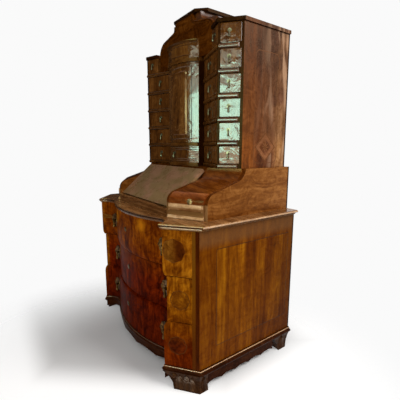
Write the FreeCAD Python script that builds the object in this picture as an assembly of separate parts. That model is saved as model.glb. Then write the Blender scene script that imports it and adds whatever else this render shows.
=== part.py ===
import FreeCAD, Part
import math
import os

# Tabernacle secretary, millimetres. The origin is on the floor under the middle of the piece.
# +Z is up and the front faces -Y, so +X is on the right of someone who faces the front.

V = FreeCAD.Vector

# Clearances
SLIDE_GAP = 0.5
REVEAL = 1.5
HINGE_GAP = 0.4
PIN_GAP = 0.08

# Base commode
DEPTH = 810.0
BASE_HALF = 592.0
BASE_SIDE_DEPTH = 674.0
SIDE_T = 20.0
POST_W = 28.0
POST_LENGTH = 70.0
BACK_T = 10.0
FOOT_H = 95.0
PLINTH_T = 25.0
BASE_PITCH = 238.0
BASE_ROWS = 3
TOP_T = 26.0
TOP_OVERHANG = 25.0
PLINTH_OVERHANG = 20.0
FRONT_OVERHANG_SHARE = 0.4

# Section of the moulded edges, as shares of their height and reach: a hollow, a swell and a fillet
CYMA_STEPS = ((0.0, 0.0), (0.25, 0.15), (0.42, 0.55), (0.52, 1.0), (0.80, 1.0), (1.0, 0.82))

# Serpentine front: a bow in the middle, a hollow each side, a canted wing at each corner
TIP_X = 448.5
TIP_SETBACK = 19.0
HOLLOW_X = 352.0
HOLLOW_DEPTH = 65.0
BOW_DEPTH = 70.0
BASE_FRONT_T = 24.0
MIDDLE_RECESS = 12.0
EDGE_ROLL = 38.0
ROLL_STEPS = 4

# Base drawer boxes
DUST_T = 12.0
BOX_WALL = 14.0
BOX_BOTTOM = 9.0
BASE_BOX_DROP = 18.0

# Apron and feet
APRON_H = 52.0
SIDE_APRON_H = 74.0
APRON_T = 22.0
APRON_WAVE = 12.0
APRON_LOBES = 5
FOOT_SPREAD = 1.6
FOOT_TOE = 95.0
FOOT_SIDE = 46.0
FOOT_PROUD = 12.0
BACK_FOOT_LENGTH = 140.0
BACK_FOOT_TOE = 95.0
BACK_FOOT_HEEL = 36.0
BACK_FOOT_W = 62.0

# Sections of the feet, as shares of their height and of how far they stand proud
FOOT_STEPS = ((0.0, 1.0), (0.35, 0.55), (0.7, 0.5), (1.0, 1.0))
BACK_FOOT_STEPS = ((0.0, 1.0), (0.4, 0.4), (0.75, 0.5), (1.0, 1.0))

# Writing section
DESK_H = 245.0
DESK_HALF = 540.0
DESK_SIDE_DEPTH = 589.0
DESK_DEPTH = 693.0
DESK_FRONT_HALF = 345.0
DESK_FLOOR_T = 20.0
DESK_FLOOR_TOP = 45.0
DESK_TOP_T = 18.0
NOSE_START = 80.0
NOSE_R = 55.0
OGEE_SLOPE = 17.0
OGEE_R = 75.0
OGEE_END = 85.0
SHOULDER_T = 13.0
RAIL_DEPTH = 24.0
RAIL_BAND = 6.0
CORNER_DRAWER_LOW = 42.0
CORNER_FRONT_T = 20.0
CORNER_BOX_LENGTH = 300.0

# Sections of the rail and the foot blocks, as shares of their height and of their raised band
RAIL_STEPS = ((0.0, 1.0), (0.25, 1.0), (0.40, 0.0), (0.62, 0.0), (0.72, 1.0), (0.92, 1.0), (1.0, 0.0))
BLOCK_STEPS = ((0.0, 1.0), (0.4, 1.0), (0.6, 0.0), (1.0, 0.0))

# Writing lid
LID_T = 18.0
LID_SETBACK = 8.0
LID_TOP_SETBACK = 232.0
LID_TOP_DROP = 7.0
LID_HINGE_R = 3.5
LID_HINGE_LENGTH = 60.0
LID_HINGE_X = 230.0
LEAF_T = 1.5

# Upper cabinet
ROWS = 6
ROW_H = 120.5
ROW_BOARD_T = 20.0
ROW_NOSE = 8.0
ROW_ROUND = 8.4
UPPER_HALF = 504.0
UPPER_SIDE_T = 18.0
UPPER_SIDE_DEPTH = 341.0
OUTER_COLUMN_W = 99.0
UPPER_TIP_DEPTH = 427.0
INNER_END_DEPTH = 347.0
PARTITION_T = 12.0
CENTRE_HALF = 165.0
DOOR_END_DEPTH = 376.0
DOOR_BULGE = 71.0
DOOR_T = 18.0
TOP_BOARD_T = 18.0

# Small drawers
SMALL_FRONT_T = 16.0
SMALL_ROUND = 5.0
SMALL_WALL = 8.0
SMALL_BOTTOM = 6.0
SMALL_BOX_DROP = 14.0

# Crown
PEDIMENT_HALF = 310.0
PEDIMENT_DEPTH = 372.0
PEDIMENT_T = 20.0
BELL_NECK_HALF = 95.0
BELL_SLOPE = 11.0
BELL_LOW_R = 88.0
BELL_TOP_R = 42.0
NECK_STRAIGHT = 7.0
ROOF_FOOT_HALF = 340.0
ROOF_NECK_HALF = 150.0
ROOF_LOW_R = 70.0
ROOF_T = 12.0
CAP_T = 18.0
CAP_FRONT_HALF = 116.0
CAP_SIDE_HALF = 170.0
CAP_CANT = 55.0
CAP_BEVEL = 5.0

# Brass fittings
PLATE_R = 44.0
PLATE_T = 3.0
PULL_PIN_R = 2.0
PULL_REACH = 13.0
PULL_LENGTH = 48.0
PULL_BULB_R = 9.0
PULL_EYE_R = 4.5
PULL_EYE_W = 6.0
LUG_T = 3.0
ROSETTE_R = 10.0
ROSETTE_T = 2.5
DROP_REACH = 11.0
DROP_LENGTH = 34.0
DROP_BULB_R = 5.0
DROP_STEM_R = 2.5
DROP_RISE = 10.0
DOOR_HINGE_R = 3.5
DOOR_HINGE_LENGTH = 46.0

# Heights and depths worked out from the sizes above
BACK_Y = DEPTH / 2
INSIDE_BACK = BACK_Y - BACK_T
CARCASS_Z = FOOT_H + PLINTH_T
CARCASS_TOP = CARCASS_Z + BASE_ROWS * BASE_PITCH
BASE_TOP = CARCASS_TOP + TOP_T
DESK_TOP = BASE_TOP + DESK_H
UPPER_TOP = DESK_TOP + ROWS * ROW_H
FRIEZE_Z = DESK_TOP + (ROWS - 1) * ROW_H + ROW_BOARD_T


def box(x0, x1, y0, y1, z0, z1):
    return Part.makeBox(x1 - x0, y1 - y0, z1 - z0, V(x0, y0, z0))


def flat_wire(points, z):
    corners = [V(x, y, z) for x, y in points]
    return Part.makePolygon(corners + corners[:1])


def prism(points, z0, z1):
    return Part.Face(flat_wire(points, z0)).extrude(V(0, 0, z1 - z0))


def arc(centre, radius, start, end, z=0.0):
    middle = (start + end) / 2

    def at(angle):
        return V(centre[0] + radius * math.cos(angle), centre[1] + radius * math.sin(angle), z)

    return Part.Arc(at(start), at(middle), at(end)).toShape()


def segment(a, b):
    return Part.makeLine(a, b)


def mirrored(shape):
    return shape.mirror(V(0, 0, 0), V(1, 0, 0))


def both_sides(solids):
    return solids + [mirrored(solid) for solid in solids]


def save(name, solids):
    Part.makeCompound(solids).exportStep("parts/" + name + ".step")


def round_edges(solid, radius, chosen):
    edges = [edge for edge in solid.Edges if all(chosen(vertex.Point) for vertex in edge.Vertexes)]
    return solid.makeFillet(radius, edges)


def teardrop(top, length, bulb_r, stem_r):
    # Hanging drop: a stem that swells into a round bulb, turned about a vertical line.
    # The lower arc is a quarter circle, so its middle lies at forty-five degrees.
    low = top - V(0, 0, length)
    bulb_centre = low + V(0, 0, bulb_r)
    shoulder = bulb_centre + V(bulb_r, 0, 0)
    outline = Part.Wire([
        segment(top, top + V(stem_r, 0, 0)),
        segment(top + V(stem_r, 0, 0), shoulder),
        Part.Arc(shoulder, bulb_centre + V(bulb_r, 0, -bulb_r) * math.sqrt(0.5), low).toShape(),
        segment(low, top),
    ])
    return Part.Face(outline).revolve(top, V(0, 0, 1), 360)


# Plan of the serpentine front. An offset moves the whole outline outwards by the same distance.
HOLLOW_R = ((TIP_X - HOLLOW_X) ** 2 + HOLLOW_DEPTH ** 2) / (2 * HOLLOW_DEPTH)
ARC_SUM = (HOLLOW_X ** 2 + BOW_DEPTH ** 2) / (2 * BOW_DEPTH)
BOW_R = ARC_SUM - HOLLOW_R
TIP_Y = TIP_SETBACK - DEPTH / 2
HOLLOW_Y = TIP_Y + HOLLOW_DEPTH
BOW_CENTRE = V(0, HOLLOW_Y - BOW_DEPTH + BOW_R, 0)
HOLLOW_CENTRE = V(HOLLOW_X, HOLLOW_Y - HOLLOW_R, 0)
CORNER = V(BASE_HALF, BACK_Y - BASE_SIDE_DEPTH, 0)
WING = (V(TIP_X, TIP_Y, 0) - CORNER).normalize()
WING_OUT = V(-WING.y, WING.x, 0)


def wing_point(offset, x):
    start = CORNER + WING_OUT * offset
    return start + WING * ((x - start.x) / WING.x)


def tip_point(offset):
    start = CORNER + WING_OUT * offset
    to_start = start - HOLLOW_CENTRE
    along = WING.dot(to_start)
    reach = along ** 2 - to_start.dot(to_start) + (HOLLOW_R - offset) ** 2
    return start + WING * (-along - math.sqrt(reach))


def angle_of(point, centre):
    return math.atan2(point.y - centre.y, point.x - centre.x)


def front_path(offset, x_end, z):
    # Edges from the left wing's end to the right wing's end.
    turn = BOW_CENTRE + (HOLLOW_CENTRE - BOW_CENTRE) * ((BOW_R + offset) / ARC_SUM)
    tip = tip_point(offset)
    end = wing_point(offset, x_end)
    bow_turn = angle_of(turn, BOW_CENTRE)
    bow = arc((0, BOW_CENTRE.y), BOW_R + offset, math.pi - bow_turn - 2 * math.pi, bow_turn, z)
    start_angle = angle_of(turn, HOLLOW_CENTRE)
    tip_angle = angle_of(tip, HOLLOW_CENTRE)
    hollow = arc((HOLLOW_X, HOLLOW_CENTRE.y), HOLLOW_R - offset, start_angle, tip_angle, z)
    lift = V(0, 0, z)
    wing = segment(tip + lift, end + lift)
    return [mirrored(wing), mirrored(hollow), bow, hollow, wing]


def path_end(offset, x_end, z, side):
    end = wing_point(offset, x_end)
    return V(side * end.x, end.y, z)


def strip_wire(outer, inner, x_end, z):
    # Closed outline of a board that follows the front.
    ends = []
    for side in (-1, 1):
        ends.append(segment(path_end(outer, x_end, z, side), path_end(inner, x_end, z, side)))
    edges = front_path(outer, x_end, z) + ends + front_path(inner, x_end, z)
    return Part.Wire(Part.__sortEdges__(edges))


def strip(outer, inner, x_end, z0, z1):
    return Part.Face(strip_wire(outer, inner, x_end, z0)).extrude(V(0, 0, z1 - z0))


def front_band(outer, inner, half, z0, z1):
    # Board that follows the front between two upright planes, inside the wings.
    board = strip(outer, inner, BASE_HALF - POST_W, z0, z1)
    return board.common(box(-half, half, -DEPTH, DEPTH, z0, z1)).Solids[0]


def slab_wire(offset, back, x_side, z):
    # Closed outline from the front to a straight back, with sides at x_side.
    corner = wing_point(offset, x_side)
    edges = front_path(offset, x_side, z)
    for side in (-1, 1):
        edges.append(segment(V(side * x_side, corner.y, z), V(side * x_side, back, z)))
    edges.append(segment(V(-x_side, back, z), V(x_side, back, z)))
    return Part.Wire(Part.__sortEdges__(edges))


def slab(offset, back, x_side, z0, z1):
    return Part.Face(slab_wire(offset, back, x_side, z0)).extrude(V(0, 0, z1 - z0))


def moulded_slab(profile):
    # A board whose edge follows the profile's (height, offset) steps round the sides and, less far, the front.
    wires = []
    for z, offset in profile:
        wires.append(slab_wire(offset * FRONT_OVERHANG_SHARE, BACK_Y, BASE_HALF + offset, z))
    return Part.makeLoft(wires, True, True)


def cyma(z0, z1, inner, outer):
    # A small hollow, a swell and a fillet, as heights and offsets of a moulded edge.
    return [(z0 + (z1 - z0) * rise, inner + (outer - inner) * reach) for rise, reach in CYMA_STEPS]


# Base commode, fixed pieces
def base_sides():
    post_back = CORNER.y + POST_LENGTH
    panel = box(BASE_HALF - SIDE_T, BASE_HALF, post_back, INSIDE_BACK, CARCASS_Z, CARCASS_TOP)
    return both_sides([panel])


def base_corner_posts():
    inner = BASE_HALF - POST_W
    front = wing_point(0, inner)
    post_back = CORNER.y + POST_LENGTH
    outline = [
        (inner, front.y),
        (BASE_HALF, CORNER.y),
        (BASE_HALF, post_back),
        (inner, post_back),
    ]
    return both_sides([prism(outline, CARCASS_Z, CARCASS_TOP)])


def base_boards():
    boards = []
    inner = BASE_HALF - POST_W
    offset = -BASE_FRONT_T - MIDDLE_RECESS - REVEAL
    for level in range(1, BASE_ROWS):
        z = CARCASS_Z + level * BASE_PITCH
        boards.append(slab(offset, INSIDE_BACK, inner, z - DUST_T / 2, z + DUST_T / 2))
    return boards


def base_drawer_guides():
    # Strips that fill the room between the drawer boxes and the side panels.
    guides = []
    start = CORNER.y + POST_LENGTH
    for level in range(BASE_ROWS):
        z = CARCASS_Z + level * BASE_PITCH + DUST_T
        guides.append(box(BASE_HALF - POST_W, BASE_HALF - SIDE_T, start, INSIDE_BACK, z, z + POST_W))
    return both_sides(guides)


def base_top():
    return [moulded_slab(cyma(CARCASS_TOP, BASE_TOP, TOP_OVERHANG / 4, TOP_OVERHANG))]


def plinth_board():
    steps = cyma(FOOT_H, CARCASS_Z, PLINTH_OVERHANG / 4, PLINTH_OVERHANG)
    low = [FOOT_H + CARCASS_Z - z for z, offset in reversed(steps)]
    return [moulded_slab(list(zip(low, [offset for z, offset in reversed(steps)])))]


def wave_cutter(length, bottom, depth_from, depth_to):
    # Row of round scallops under an apron, standing along X and centred on it.
    pitch = length / APRON_LOBES
    radius = (pitch ** 2 / 4 + APRON_WAVE ** 2) / (2 * APRON_WAVE)
    cutters = []
    for index in range(APRON_LOBES):
        x = (index - (APRON_LOBES - 1) / 2) * pitch
        centre = V(x, depth_from, bottom + APRON_WAVE - radius)
        cutters.append(Part.makeCylinder(radius, depth_to - depth_from, centre, V(0, 1, 0)))
    return cutters


def aprons():
    bottom = FOOT_H - APRON_H
    front = front_band(0, -APRON_T, TIP_X, bottom, FOOT_H)
    for cutter in wave_cutter(2 * TIP_X, bottom, -DEPTH, BACK_Y):
        front = front.cut(cutter)
    start = CORNER.y + FOOT_SIDE
    end = BACK_Y - BACK_FOOT_LENGTH
    low = FOOT_H - SIDE_APRON_H
    side = box(BASE_HALF - APRON_T, BASE_HALF, start, end, low, FOOT_H)
    turn = FreeCAD.Placement(V(0, (start + end) / 2, 0), FreeCAD.Rotation(V(0, 0, 1), 90))
    for cutter in wave_cutter(end - start, low, -BASE_HALF, 0):
        cutter.Placement = turn.multiply(cutter.Placement)
        side = side.cut(cutter)
    return [front] + both_sides([side])


def front_foot():
    # Bracket foot on the canted corner: broad under the plinth, drawn in to a toe at the floor.
    sections = []
    tip = tip_point(0)
    for share, proud in FOOT_STEPS:
        outer = FOOT_PROUD * proud
        inner_x = BASE_HALF - FOOT_TOE - (BASE_HALF - FOOT_TOE - tip.x) * share ** FOOT_SPREAD
        a = wing_point(outer, inner_x)
        b = wing_point(outer, BASE_HALF + outer)
        points = [
            (a.x, a.y),
            (b.x, b.y),
            (b.x, CORNER.y + FOOT_SIDE),
            (BASE_HALF - FOOT_TOE, CORNER.y + FOOT_SIDE),
            (a.x, a.y + FOOT_SIDE),
        ]
        sections.append(flat_wire(points, FOOT_H * share))
    return Part.makeLoft(sections, True, True)


def back_foot():
    sections = []
    for share, proud in BACK_FOOT_STEPS:
        length = BACK_FOOT_TOE + (BACK_FOOT_LENGTH - BACK_FOOT_TOE) * share ** FOOT_SPREAD
        outer = BASE_HALF + FOOT_PROUD * proud
        inner = BASE_HALF - BACK_FOOT_W
        start = BACK_Y - length
        end = BACK_Y - BACK_FOOT_HEEL * (1 - share)
        points = [(inner, start), (outer, start), (outer, end), (inner, end)]
        sections.append(flat_wire(points, FOOT_H * share))
    return Part.makeLoft(sections, True, True)


def feet():
    return both_sides([front_foot(), back_foot()])


# Base drawers
def roll(z_edge, z_inside, depth):
    # Quarter-round from the recessed edge out to the face, as heights and offsets.
    steps = []
    for step in range(ROLL_STEPS + 1):
        angle = math.pi / 2 * step / ROLL_STEPS
        z = z_edge + (z_inside - z_edge) * (1 - math.cos(angle))
        steps.append((z, -depth * (1 - math.sin(angle))))
    return steps


def base_front_profile(row, z0, z1):
    if row == BASE_ROWS - 1:
        return roll(z0, z0 + EDGE_ROLL, MIDDLE_RECESS) + [(z1, 0.0)]
    if row == 0:
        return [(z0, 0.0)] + list(reversed(roll(z1, z1 - EDGE_ROLL, MIDDLE_RECESS)))
    return [(z0, -MIDDLE_RECESS), (z1, -MIDDLE_RECESS)]


def base_face_offset(row):
    return -MIDDLE_RECESS if 0 < row < BASE_ROWS - 1 else 0.0


def base_row_span(row):
    low = CARCASS_Z + row * BASE_PITCH
    return low + REVEAL, low + BASE_PITCH - REVEAL


def base_pull_point(row, side):
    z0, z1 = base_row_span(row)
    return V(side * HOLLOW_X, HOLLOW_Y - base_face_offset(row), (z0 + z1) / 2)


def pull_fitting(row, side):
    # Round back plate that follows the hollow, two lugs and the pin between them.
    point = base_pull_point(row, side)
    face = base_face_offset(row)
    z = point.z
    band = front_band(face + PLATE_T, face, HOLLOW_X + PLATE_R, z - PLATE_R, z + PLATE_R)
    disc = Part.makeCylinder(PLATE_R, DEPTH, V(point.x, -DEPTH, z), V(0, 1, 0))
    plate = band.common(disc).Solids[0]
    lug_in = PULL_EYE_W / 2 + HINGE_GAP
    dish = (lug_in + LUG_T) ** 2 / HOLLOW_R
    pin_y = point.y - PLATE_T - PULL_REACH
    solids = [plate]
    lugs = []
    for way in (-1, 1):
        x0 = point.x + min(way * lug_in, way * (lug_in + LUG_T))
        lug = box(x0, x0 + LUG_T, pin_y, point.y - PLATE_T - dish, z - PULL_EYE_R, z + PULL_EYE_R)
        nose = Part.makeCylinder(PULL_EYE_R, LUG_T, V(x0, pin_y, z), V(1, 0, 0))
        lugs.append(lug.fuse(nose))
    pin_half = lug_in + LUG_T / 2
    pin = Part.makeCylinder(PULL_PIN_R, 2 * pin_half, V(point.x - pin_half, pin_y, z), V(1, 0, 0))
    solids.append(pin.fuse(lugs).removeSplitter().Solids[0])
    return solids


def pull_drop(row, side):
    point = base_pull_point(row, side)
    pin = V(point.x, point.y - PLATE_T - PULL_REACH, point.z)
    half = V(PULL_EYE_W / 2, 0, 0)
    eye = Part.makeCylinder(PULL_EYE_R, PULL_EYE_W, pin - half, V(1, 0, 0))
    stem_top = pin - V(0, 0, PULL_EYE_R - 2 * HINGE_GAP)
    drop = teardrop(stem_top, PULL_LENGTH, PULL_BULB_R, PULL_EYE_W / 2)
    bore = Part.makeCylinder(PULL_PIN_R + PIN_GAP, 4 * PULL_EYE_W, pin - half * 4, V(1, 0, 0))
    return [eye.fuse(drop).cut(bore).removeSplitter().Solids[0]]


def base_drawer(row):
    z0, z1 = base_row_span(row)
    face = base_face_offset(row)
    x_end = BASE_HALF - POST_W - SLIDE_GAP
    inner = face - BASE_FRONT_T
    if face == 0.0:
        inner = -MIDDLE_RECESS - BASE_FRONT_T
    wires = [strip_wire(offset, inner, x_end, z) for z, offset in base_front_profile(row, z0, z1)]
    front = Part.makeLoft(wires, True, True)
    seat = CARCASS_Z + row * BASE_PITCH + (DUST_T / 2 if row else 0.0) + SLIDE_GAP
    box_top = z1 - BASE_BOX_DROP
    back = INSIDE_BACK - REVEAL
    x_in = x_end - BOX_WALL
    outer_front = wing_point(inner, x_end)
    inner_front = wing_point(inner, x_in)
    wall = [(x_in, inner_front.y), (x_end, outer_front.y), (x_end, back), (x_in, back)]
    sides = both_sides([prism(wall, seat, box_top)])
    rear = box(-x_in, x_in, back - BOX_WALL, back, seat, box_top)
    bottom = slab(inner, back - BOX_WALL, x_in, seat, seat + BOX_BOTTOM)
    return [front, rear, bottom] + sides


def base_drawer_fittings(row):
    return pull_fitting(row, -1) + pull_fitting(row, 1)


# Writing section
DESK_CORNER_Y = BACK_Y - DESK_SIDE_DEPTH
DESK_FRONT_Y = BACK_Y - DESK_DEPTH
DESK_CANT = V(DESK_FRONT_HALF - DESK_HALF, DESK_FRONT_Y - DESK_CORNER_Y, 0)
NOSE_Z = BASE_TOP + NOSE_START


def cant_y(x):
    # Front line of the canted corner blocks of the writing section.
    return DESK_CORNER_Y + DESK_CANT.y * (x - DESK_HALF) / DESK_CANT.x


def ogee_edges(x, front):
    # Outline from the front's foot over the rounded nose and up the hollow to the top, at one X.
    slope = math.radians(OGEE_SLOPE)
    steep = math.radians(OGEE_END)

    def at(y, z):
        return V(x, y, z)

    def nose(angle):
        return at(front + NOSE_R * (1 - math.cos(angle)), NOSE_Z + NOSE_R * math.sin(angle))

    foot = at(front, BASE_TOP)
    nose_start = nose(0)
    nose_end = nose(math.pi / 2 - slope)
    hollow_rise = OGEE_R * (math.cos(slope) - math.cos(steep))
    run = (DESK_TOP - hollow_rise - nose_end.z) / math.sin(slope)
    line_end = nose_end + at(run * math.cos(slope), run * math.sin(slope)) - at(0, 0)
    line_end = V(x, line_end.y, line_end.z)
    centre = line_end + V(0, -OGEE_R * math.sin(slope), OGEE_R * math.cos(slope))

    def hollow(angle):
        return centre + V(0, OGEE_R * math.sin(angle), -OGEE_R * math.cos(angle))

    top = hollow(steep)
    return [
        segment(foot, nose_start),
        Part.Arc(nose_start, nose((math.pi / 2 - slope) / 2), nose_end).toShape(),
        segment(nose_end, line_end),
        Part.Arc(line_end, hollow((slope + steep) / 2), top).toShape(),
    ]


def end_panel(x0, x1, front, back):
    # Board across X with the ogee front. Its front edge follows the canted corner.
    edges = ogee_edges(x0, front)
    foot = edges[0].Vertexes[0].Point
    top = edges[-1].Vertexes[-1].Point
    edges.append(segment(top, V(x0, back, DESK_TOP)))
    edges.append(segment(V(x0, back, DESK_TOP), V(x0, back, BASE_TOP)))
    edges.append(segment(V(x0, back, BASE_TOP), foot))
    face = Part.Face(Part.Wire(edges))
    return face.extrude(V(x1 - x0, 0, 0))


def desk_sides():
    outer = end_panel(DESK_HALF - SIDE_T, DESK_HALF, DESK_CORNER_Y, INSIDE_BACK)
    inner = end_panel(DESK_FRONT_HALF - SIDE_T, DESK_FRONT_HALF, DESK_FRONT_Y, INSIDE_BACK)
    return both_sides([outer, inner])


def desk_floor():
    half = DESK_FRONT_HALF - SIDE_T
    top = BASE_TOP + DESK_FLOOR_TOP
    front = DESK_FRONT_Y + RAIL_DEPTH
    return [box(-half, half, front, INSIDE_BACK, top - DESK_FLOOR_T, top)]


def lid_axis():
    return V(0, DESK_FRONT_Y + LID_SETBACK, BASE_TOP + DESK_FLOOR_TOP + LID_HINGE_R)


def rail_top():
    return lid_axis().z - LID_HINGE_R - LEAF_T


def desk_front_rail():
    # Straight rail under the lid with a raised band along its upper edge and its foot.
    half = DESK_FRONT_HALF - SIDE_T
    front = DESK_FRONT_Y
    top = rail_top()
    height = top - BASE_TOP
    outline = [(front - RAIL_BAND * proud, BASE_TOP + height * share) for share, proud in RAIL_STEPS]
    outline += [(front + RAIL_DEPTH, top), (front + RAIL_DEPTH, BASE_TOP)]
    corners = [V(-half, y, z) for y, z in outline]
    face = Part.Face(Part.makePolygon(corners + corners[:1]))
    return [face.extrude(V(2 * half, 0, 0))]


BLOCK_X0 = DESK_FRONT_HALF
BLOCK_X1 = DESK_HALF - SIDE_T
BLOCK_STEP = V(BLOCK_X1 - BLOCK_X0, cant_y(BLOCK_X1) - cant_y(BLOCK_X0), 0)


def block_sweep(edges):
    # Swept along the canted corner from the inner partition to the end panel.
    return Part.Face(Part.Wire(edges)).extrude(BLOCK_STEP)


def nose_edges(front):
    return ogee_edges(BLOCK_X0, front)


def desk_shoulders():
    # Curved cover over each corner drawer, from the nose up the hollow to the top board.
    edges = nose_edges(cant_y(BLOCK_X0))[2:]
    start = edges[0].Vertexes[0].Point
    end = edges[-1].Vertexes[-1].Point
    inward = V(0, SHOULDER_T, -SHOULDER_T)
    shifted = []
    for edge in edges:
        copy = edge.copy()
        copy.translate(inward)
        shifted.append(copy)
    closed = edges + [segment(end, end + inward)] + shifted + [segment(start + inward, start)]
    cover = block_sweep(Part.__sortEdges__(closed))
    # Foot block under each corner drawer.
    front = cant_y(BLOCK_X0)
    back = front + CORNER_BOX_LENGTH
    outline = [
        (front - RAIL_BAND * proud, BASE_TOP + CORNER_DRAWER_LOW * share) for share, proud in BLOCK_STEPS
    ]
    outline += [(back, BASE_TOP + CORNER_DRAWER_LOW), (back, BASE_TOP)]
    corners = [V(BLOCK_X0, y, z) for y, z in outline]
    foot = Part.Face(Part.makePolygon(corners + corners[:1])).extrude(BLOCK_STEP)
    return both_sides([cover, foot])


def desk_top():
    # Board over the writing section: it runs behind the ogee's upper end, between the partitions.
    back = INSIDE_BACK
    low = DESK_TOP - DESK_TOP_T
    half = DESK_FRONT_HALF - SIDE_T
    front = BACK_Y - DESK_DEPTH + LID_TOP_SETBACK + LID_T
    middle = box(-half, half, front, back, low, DESK_TOP)
    top_y = nose_edges(cant_y(BLOCK_X0))[-1].Vertexes[-1].Point.y
    a = top_y + SHOULDER_T
    b = a + BLOCK_STEP.y
    wing = prism([(BLOCK_X0, a), (BLOCK_X1, b), (BLOCK_X1, back), (BLOCK_X0, back)], low, DESK_TOP)
    return [middle] + both_sides([wing])


def corner_drawer():
    c = SLIDE_GAP
    x0 = BLOCK_X0 + c
    x1 = BLOCK_X1 - c
    step = V(x1 - x0, cant_y(x1) - cant_y(x0), 0)
    front = cant_y(x0)
    low = BASE_TOP + CORNER_DRAWER_LOW + c
    slope = math.radians(OGEE_SLOPE)
    end_angle = math.pi / 2 - slope

    def nose(angle, reach):
        return V(x0, front + NOSE_R - reach * math.cos(angle), NOSE_Z + reach * math.sin(angle))

    outer = NOSE_R
    inner = NOSE_R - CORNER_FRONT_T
    stop = end_angle - math.asin(REVEAL / NOSE_R)
    foot_out = V(x0, front, low)
    foot_in = V(x0, front + CORNER_FRONT_T, low)
    edges = [
        segment(foot_out, nose(0, outer)),
        Part.Arc(nose(0, outer), nose(stop / 2, outer), nose(stop, outer)).toShape(),
        segment(nose(stop, outer), nose(stop, inner)),
        Part.Arc(nose(stop, inner), nose(stop / 2, inner), nose(0, inner)).toShape(),
        segment(nose(0, inner), foot_in),
        segment(foot_in, foot_out),
    ]
    panel = Part.Face(Part.Wire(edges)).extrude(step)
    w = SMALL_WALL
    lean = step.y / step.x
    start = front + CORNER_FRONT_T

    def y_at(x):
        return start + lean * (x - x0)

    back = start + CORNER_BOX_LENGTH - CORNER_FRONT_T
    high = NOSE_Z - REVEAL
    left = prism([(x0, y_at(x0)), (x0 + w, y_at(x0 + w)), (x0 + w, back), (x0, back)], low, high)
    right = prism([(x1 - w, y_at(x1 - w)), (x1, y_at(x1)), (x1, back), (x1 - w, back)], low, high)
    rear = box(x0 + w, x1 - w, back - w, back, low, high)
    floor = [(x0 + w, y_at(x0 + w)), (x1 - w, y_at(x1 - w)), (x1 - w, back - w), (x0 + w, back - w)]
    bottom = prism(floor, low, low + SMALL_BOTTOM)
    return [panel, left, right, rear, bottom]


def writing_lid():
    # Sloping lid. Its lower end is cut level so that it clears the rail as it turns.
    axis = lid_axis()
    half = DESK_FRONT_HALF - SIDE_T - REVEAL
    low = axis.z + REVEAL
    front = axis.y + LID_HINGE_R + HINGE_GAP
    top = V(0, DESK_FRONT_Y + LID_TOP_SETBACK, DESK_TOP - LID_TOP_DROP)
    slope = math.atan2(top.z - low, top.y - front)
    inner = V(0, math.sin(slope), -math.cos(slope)) * LID_T
    level_back = front + LID_T / math.sin(slope)
    outline = [(front, low), (top.y, top.z), (top.y + inner.y, top.z + inner.z), (level_back, low)]
    corners = [V(-half, y, z) for y, z in outline]
    board = Part.Face(Part.makePolygon(corners + corners[:1])).extrude(V(2 * half, 0, 0))
    return [board]


# Upper cabinet
UPPER_TIP_X = UPPER_HALF - OUTER_COLUMN_W
UPPER_CORNER_Y = BACK_Y - UPPER_SIDE_DEPTH
UPPER_TIP_Y = BACK_Y - UPPER_TIP_DEPTH
INNER_X = CENTRE_HALF + PARTITION_T
INNER_Y = BACK_Y - INNER_END_DEPTH
DOOR_END_Y = BACK_Y - DOOR_END_DEPTH
PEDIMENT_Y = BACK_Y - PEDIMENT_DEPTH
DOOR_R = (CENTRE_HALF ** 2 + DOOR_BULGE ** 2) / (2 * DOOR_BULGE)
DOOR_CENTRE_Y = DOOR_END_Y - DOOR_BULGE + DOOR_R


def outer_y(x):
    # Front of the canted outer column.
    share = (x - UPPER_TIP_X) / (UPPER_HALF - UPPER_TIP_X)
    return UPPER_TIP_Y + share * (UPPER_CORNER_Y - UPPER_TIP_Y)


def inner_y(x):
    # Front of the inner column, which falls back towards the tabernacle.
    share = (UPPER_TIP_X - x) / (UPPER_TIP_X - INNER_X)
    return UPPER_TIP_Y + share * (INNER_Y - UPPER_TIP_Y)


def row_z(level):
    return DESK_TOP + level * ROW_H


def upper_sides():
    inner = UPPER_HALF - UPPER_SIDE_T
    outline = [
        (inner, outer_y(inner)),
        (UPPER_HALF, UPPER_CORNER_Y),
        (UPPER_HALF, INSIDE_BACK),
        (inner, INSIDE_BACK),
    ]
    return both_sides([prism(outline, DESK_TOP, UPPER_TOP)])


def upper_partitions():
    a = UPPER_TIP_X - PARTITION_T / 2
    b = UPPER_TIP_X + PARTITION_T / 2
    tip = [
        (a, inner_y(a)),
        (UPPER_TIP_X, UPPER_TIP_Y),
        (b, outer_y(b)),
        (b, INSIDE_BACK),
        (a, INSIDE_BACK),
    ]
    column = prism(tip, DESK_TOP, UPPER_TOP)
    centre = box(CENTRE_HALF, INNER_X, DOOR_END_Y, INSIDE_BACK, DESK_TOP, row_z(ROWS - 1))
    x1 = PEDIMENT_HALF
    stop = box(x1 - PARTITION_T, x1, PEDIMENT_Y + PEDIMENT_T, INSIDE_BACK, FRIEZE_Z, UPPER_TOP)
    return both_sides([column, centre, stop])


def rounded_board(outline, z):
    # Row board with a rounded front edge between its first two points.
    board = prism(outline, z, z + ROW_BOARD_T)
    (xa, ya), (xb, yb) = outline[0], outline[1]

    def on_front(p):
        return abs((p.y - ya) * (xb - xa) - (p.x - xa) * (yb - ya)) < 0.01 * abs(xb - xa)

    along = [edge for edge in board.Edges if abs(edge.Vertexes[0].Z - edge.Vertexes[-1].Z) < 0.01]
    edges = [edge for edge in along if all(on_front(vertex.Point) for vertex in edge.Vertexes)]
    return board.makeFillet(ROW_ROUND, edges)


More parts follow.
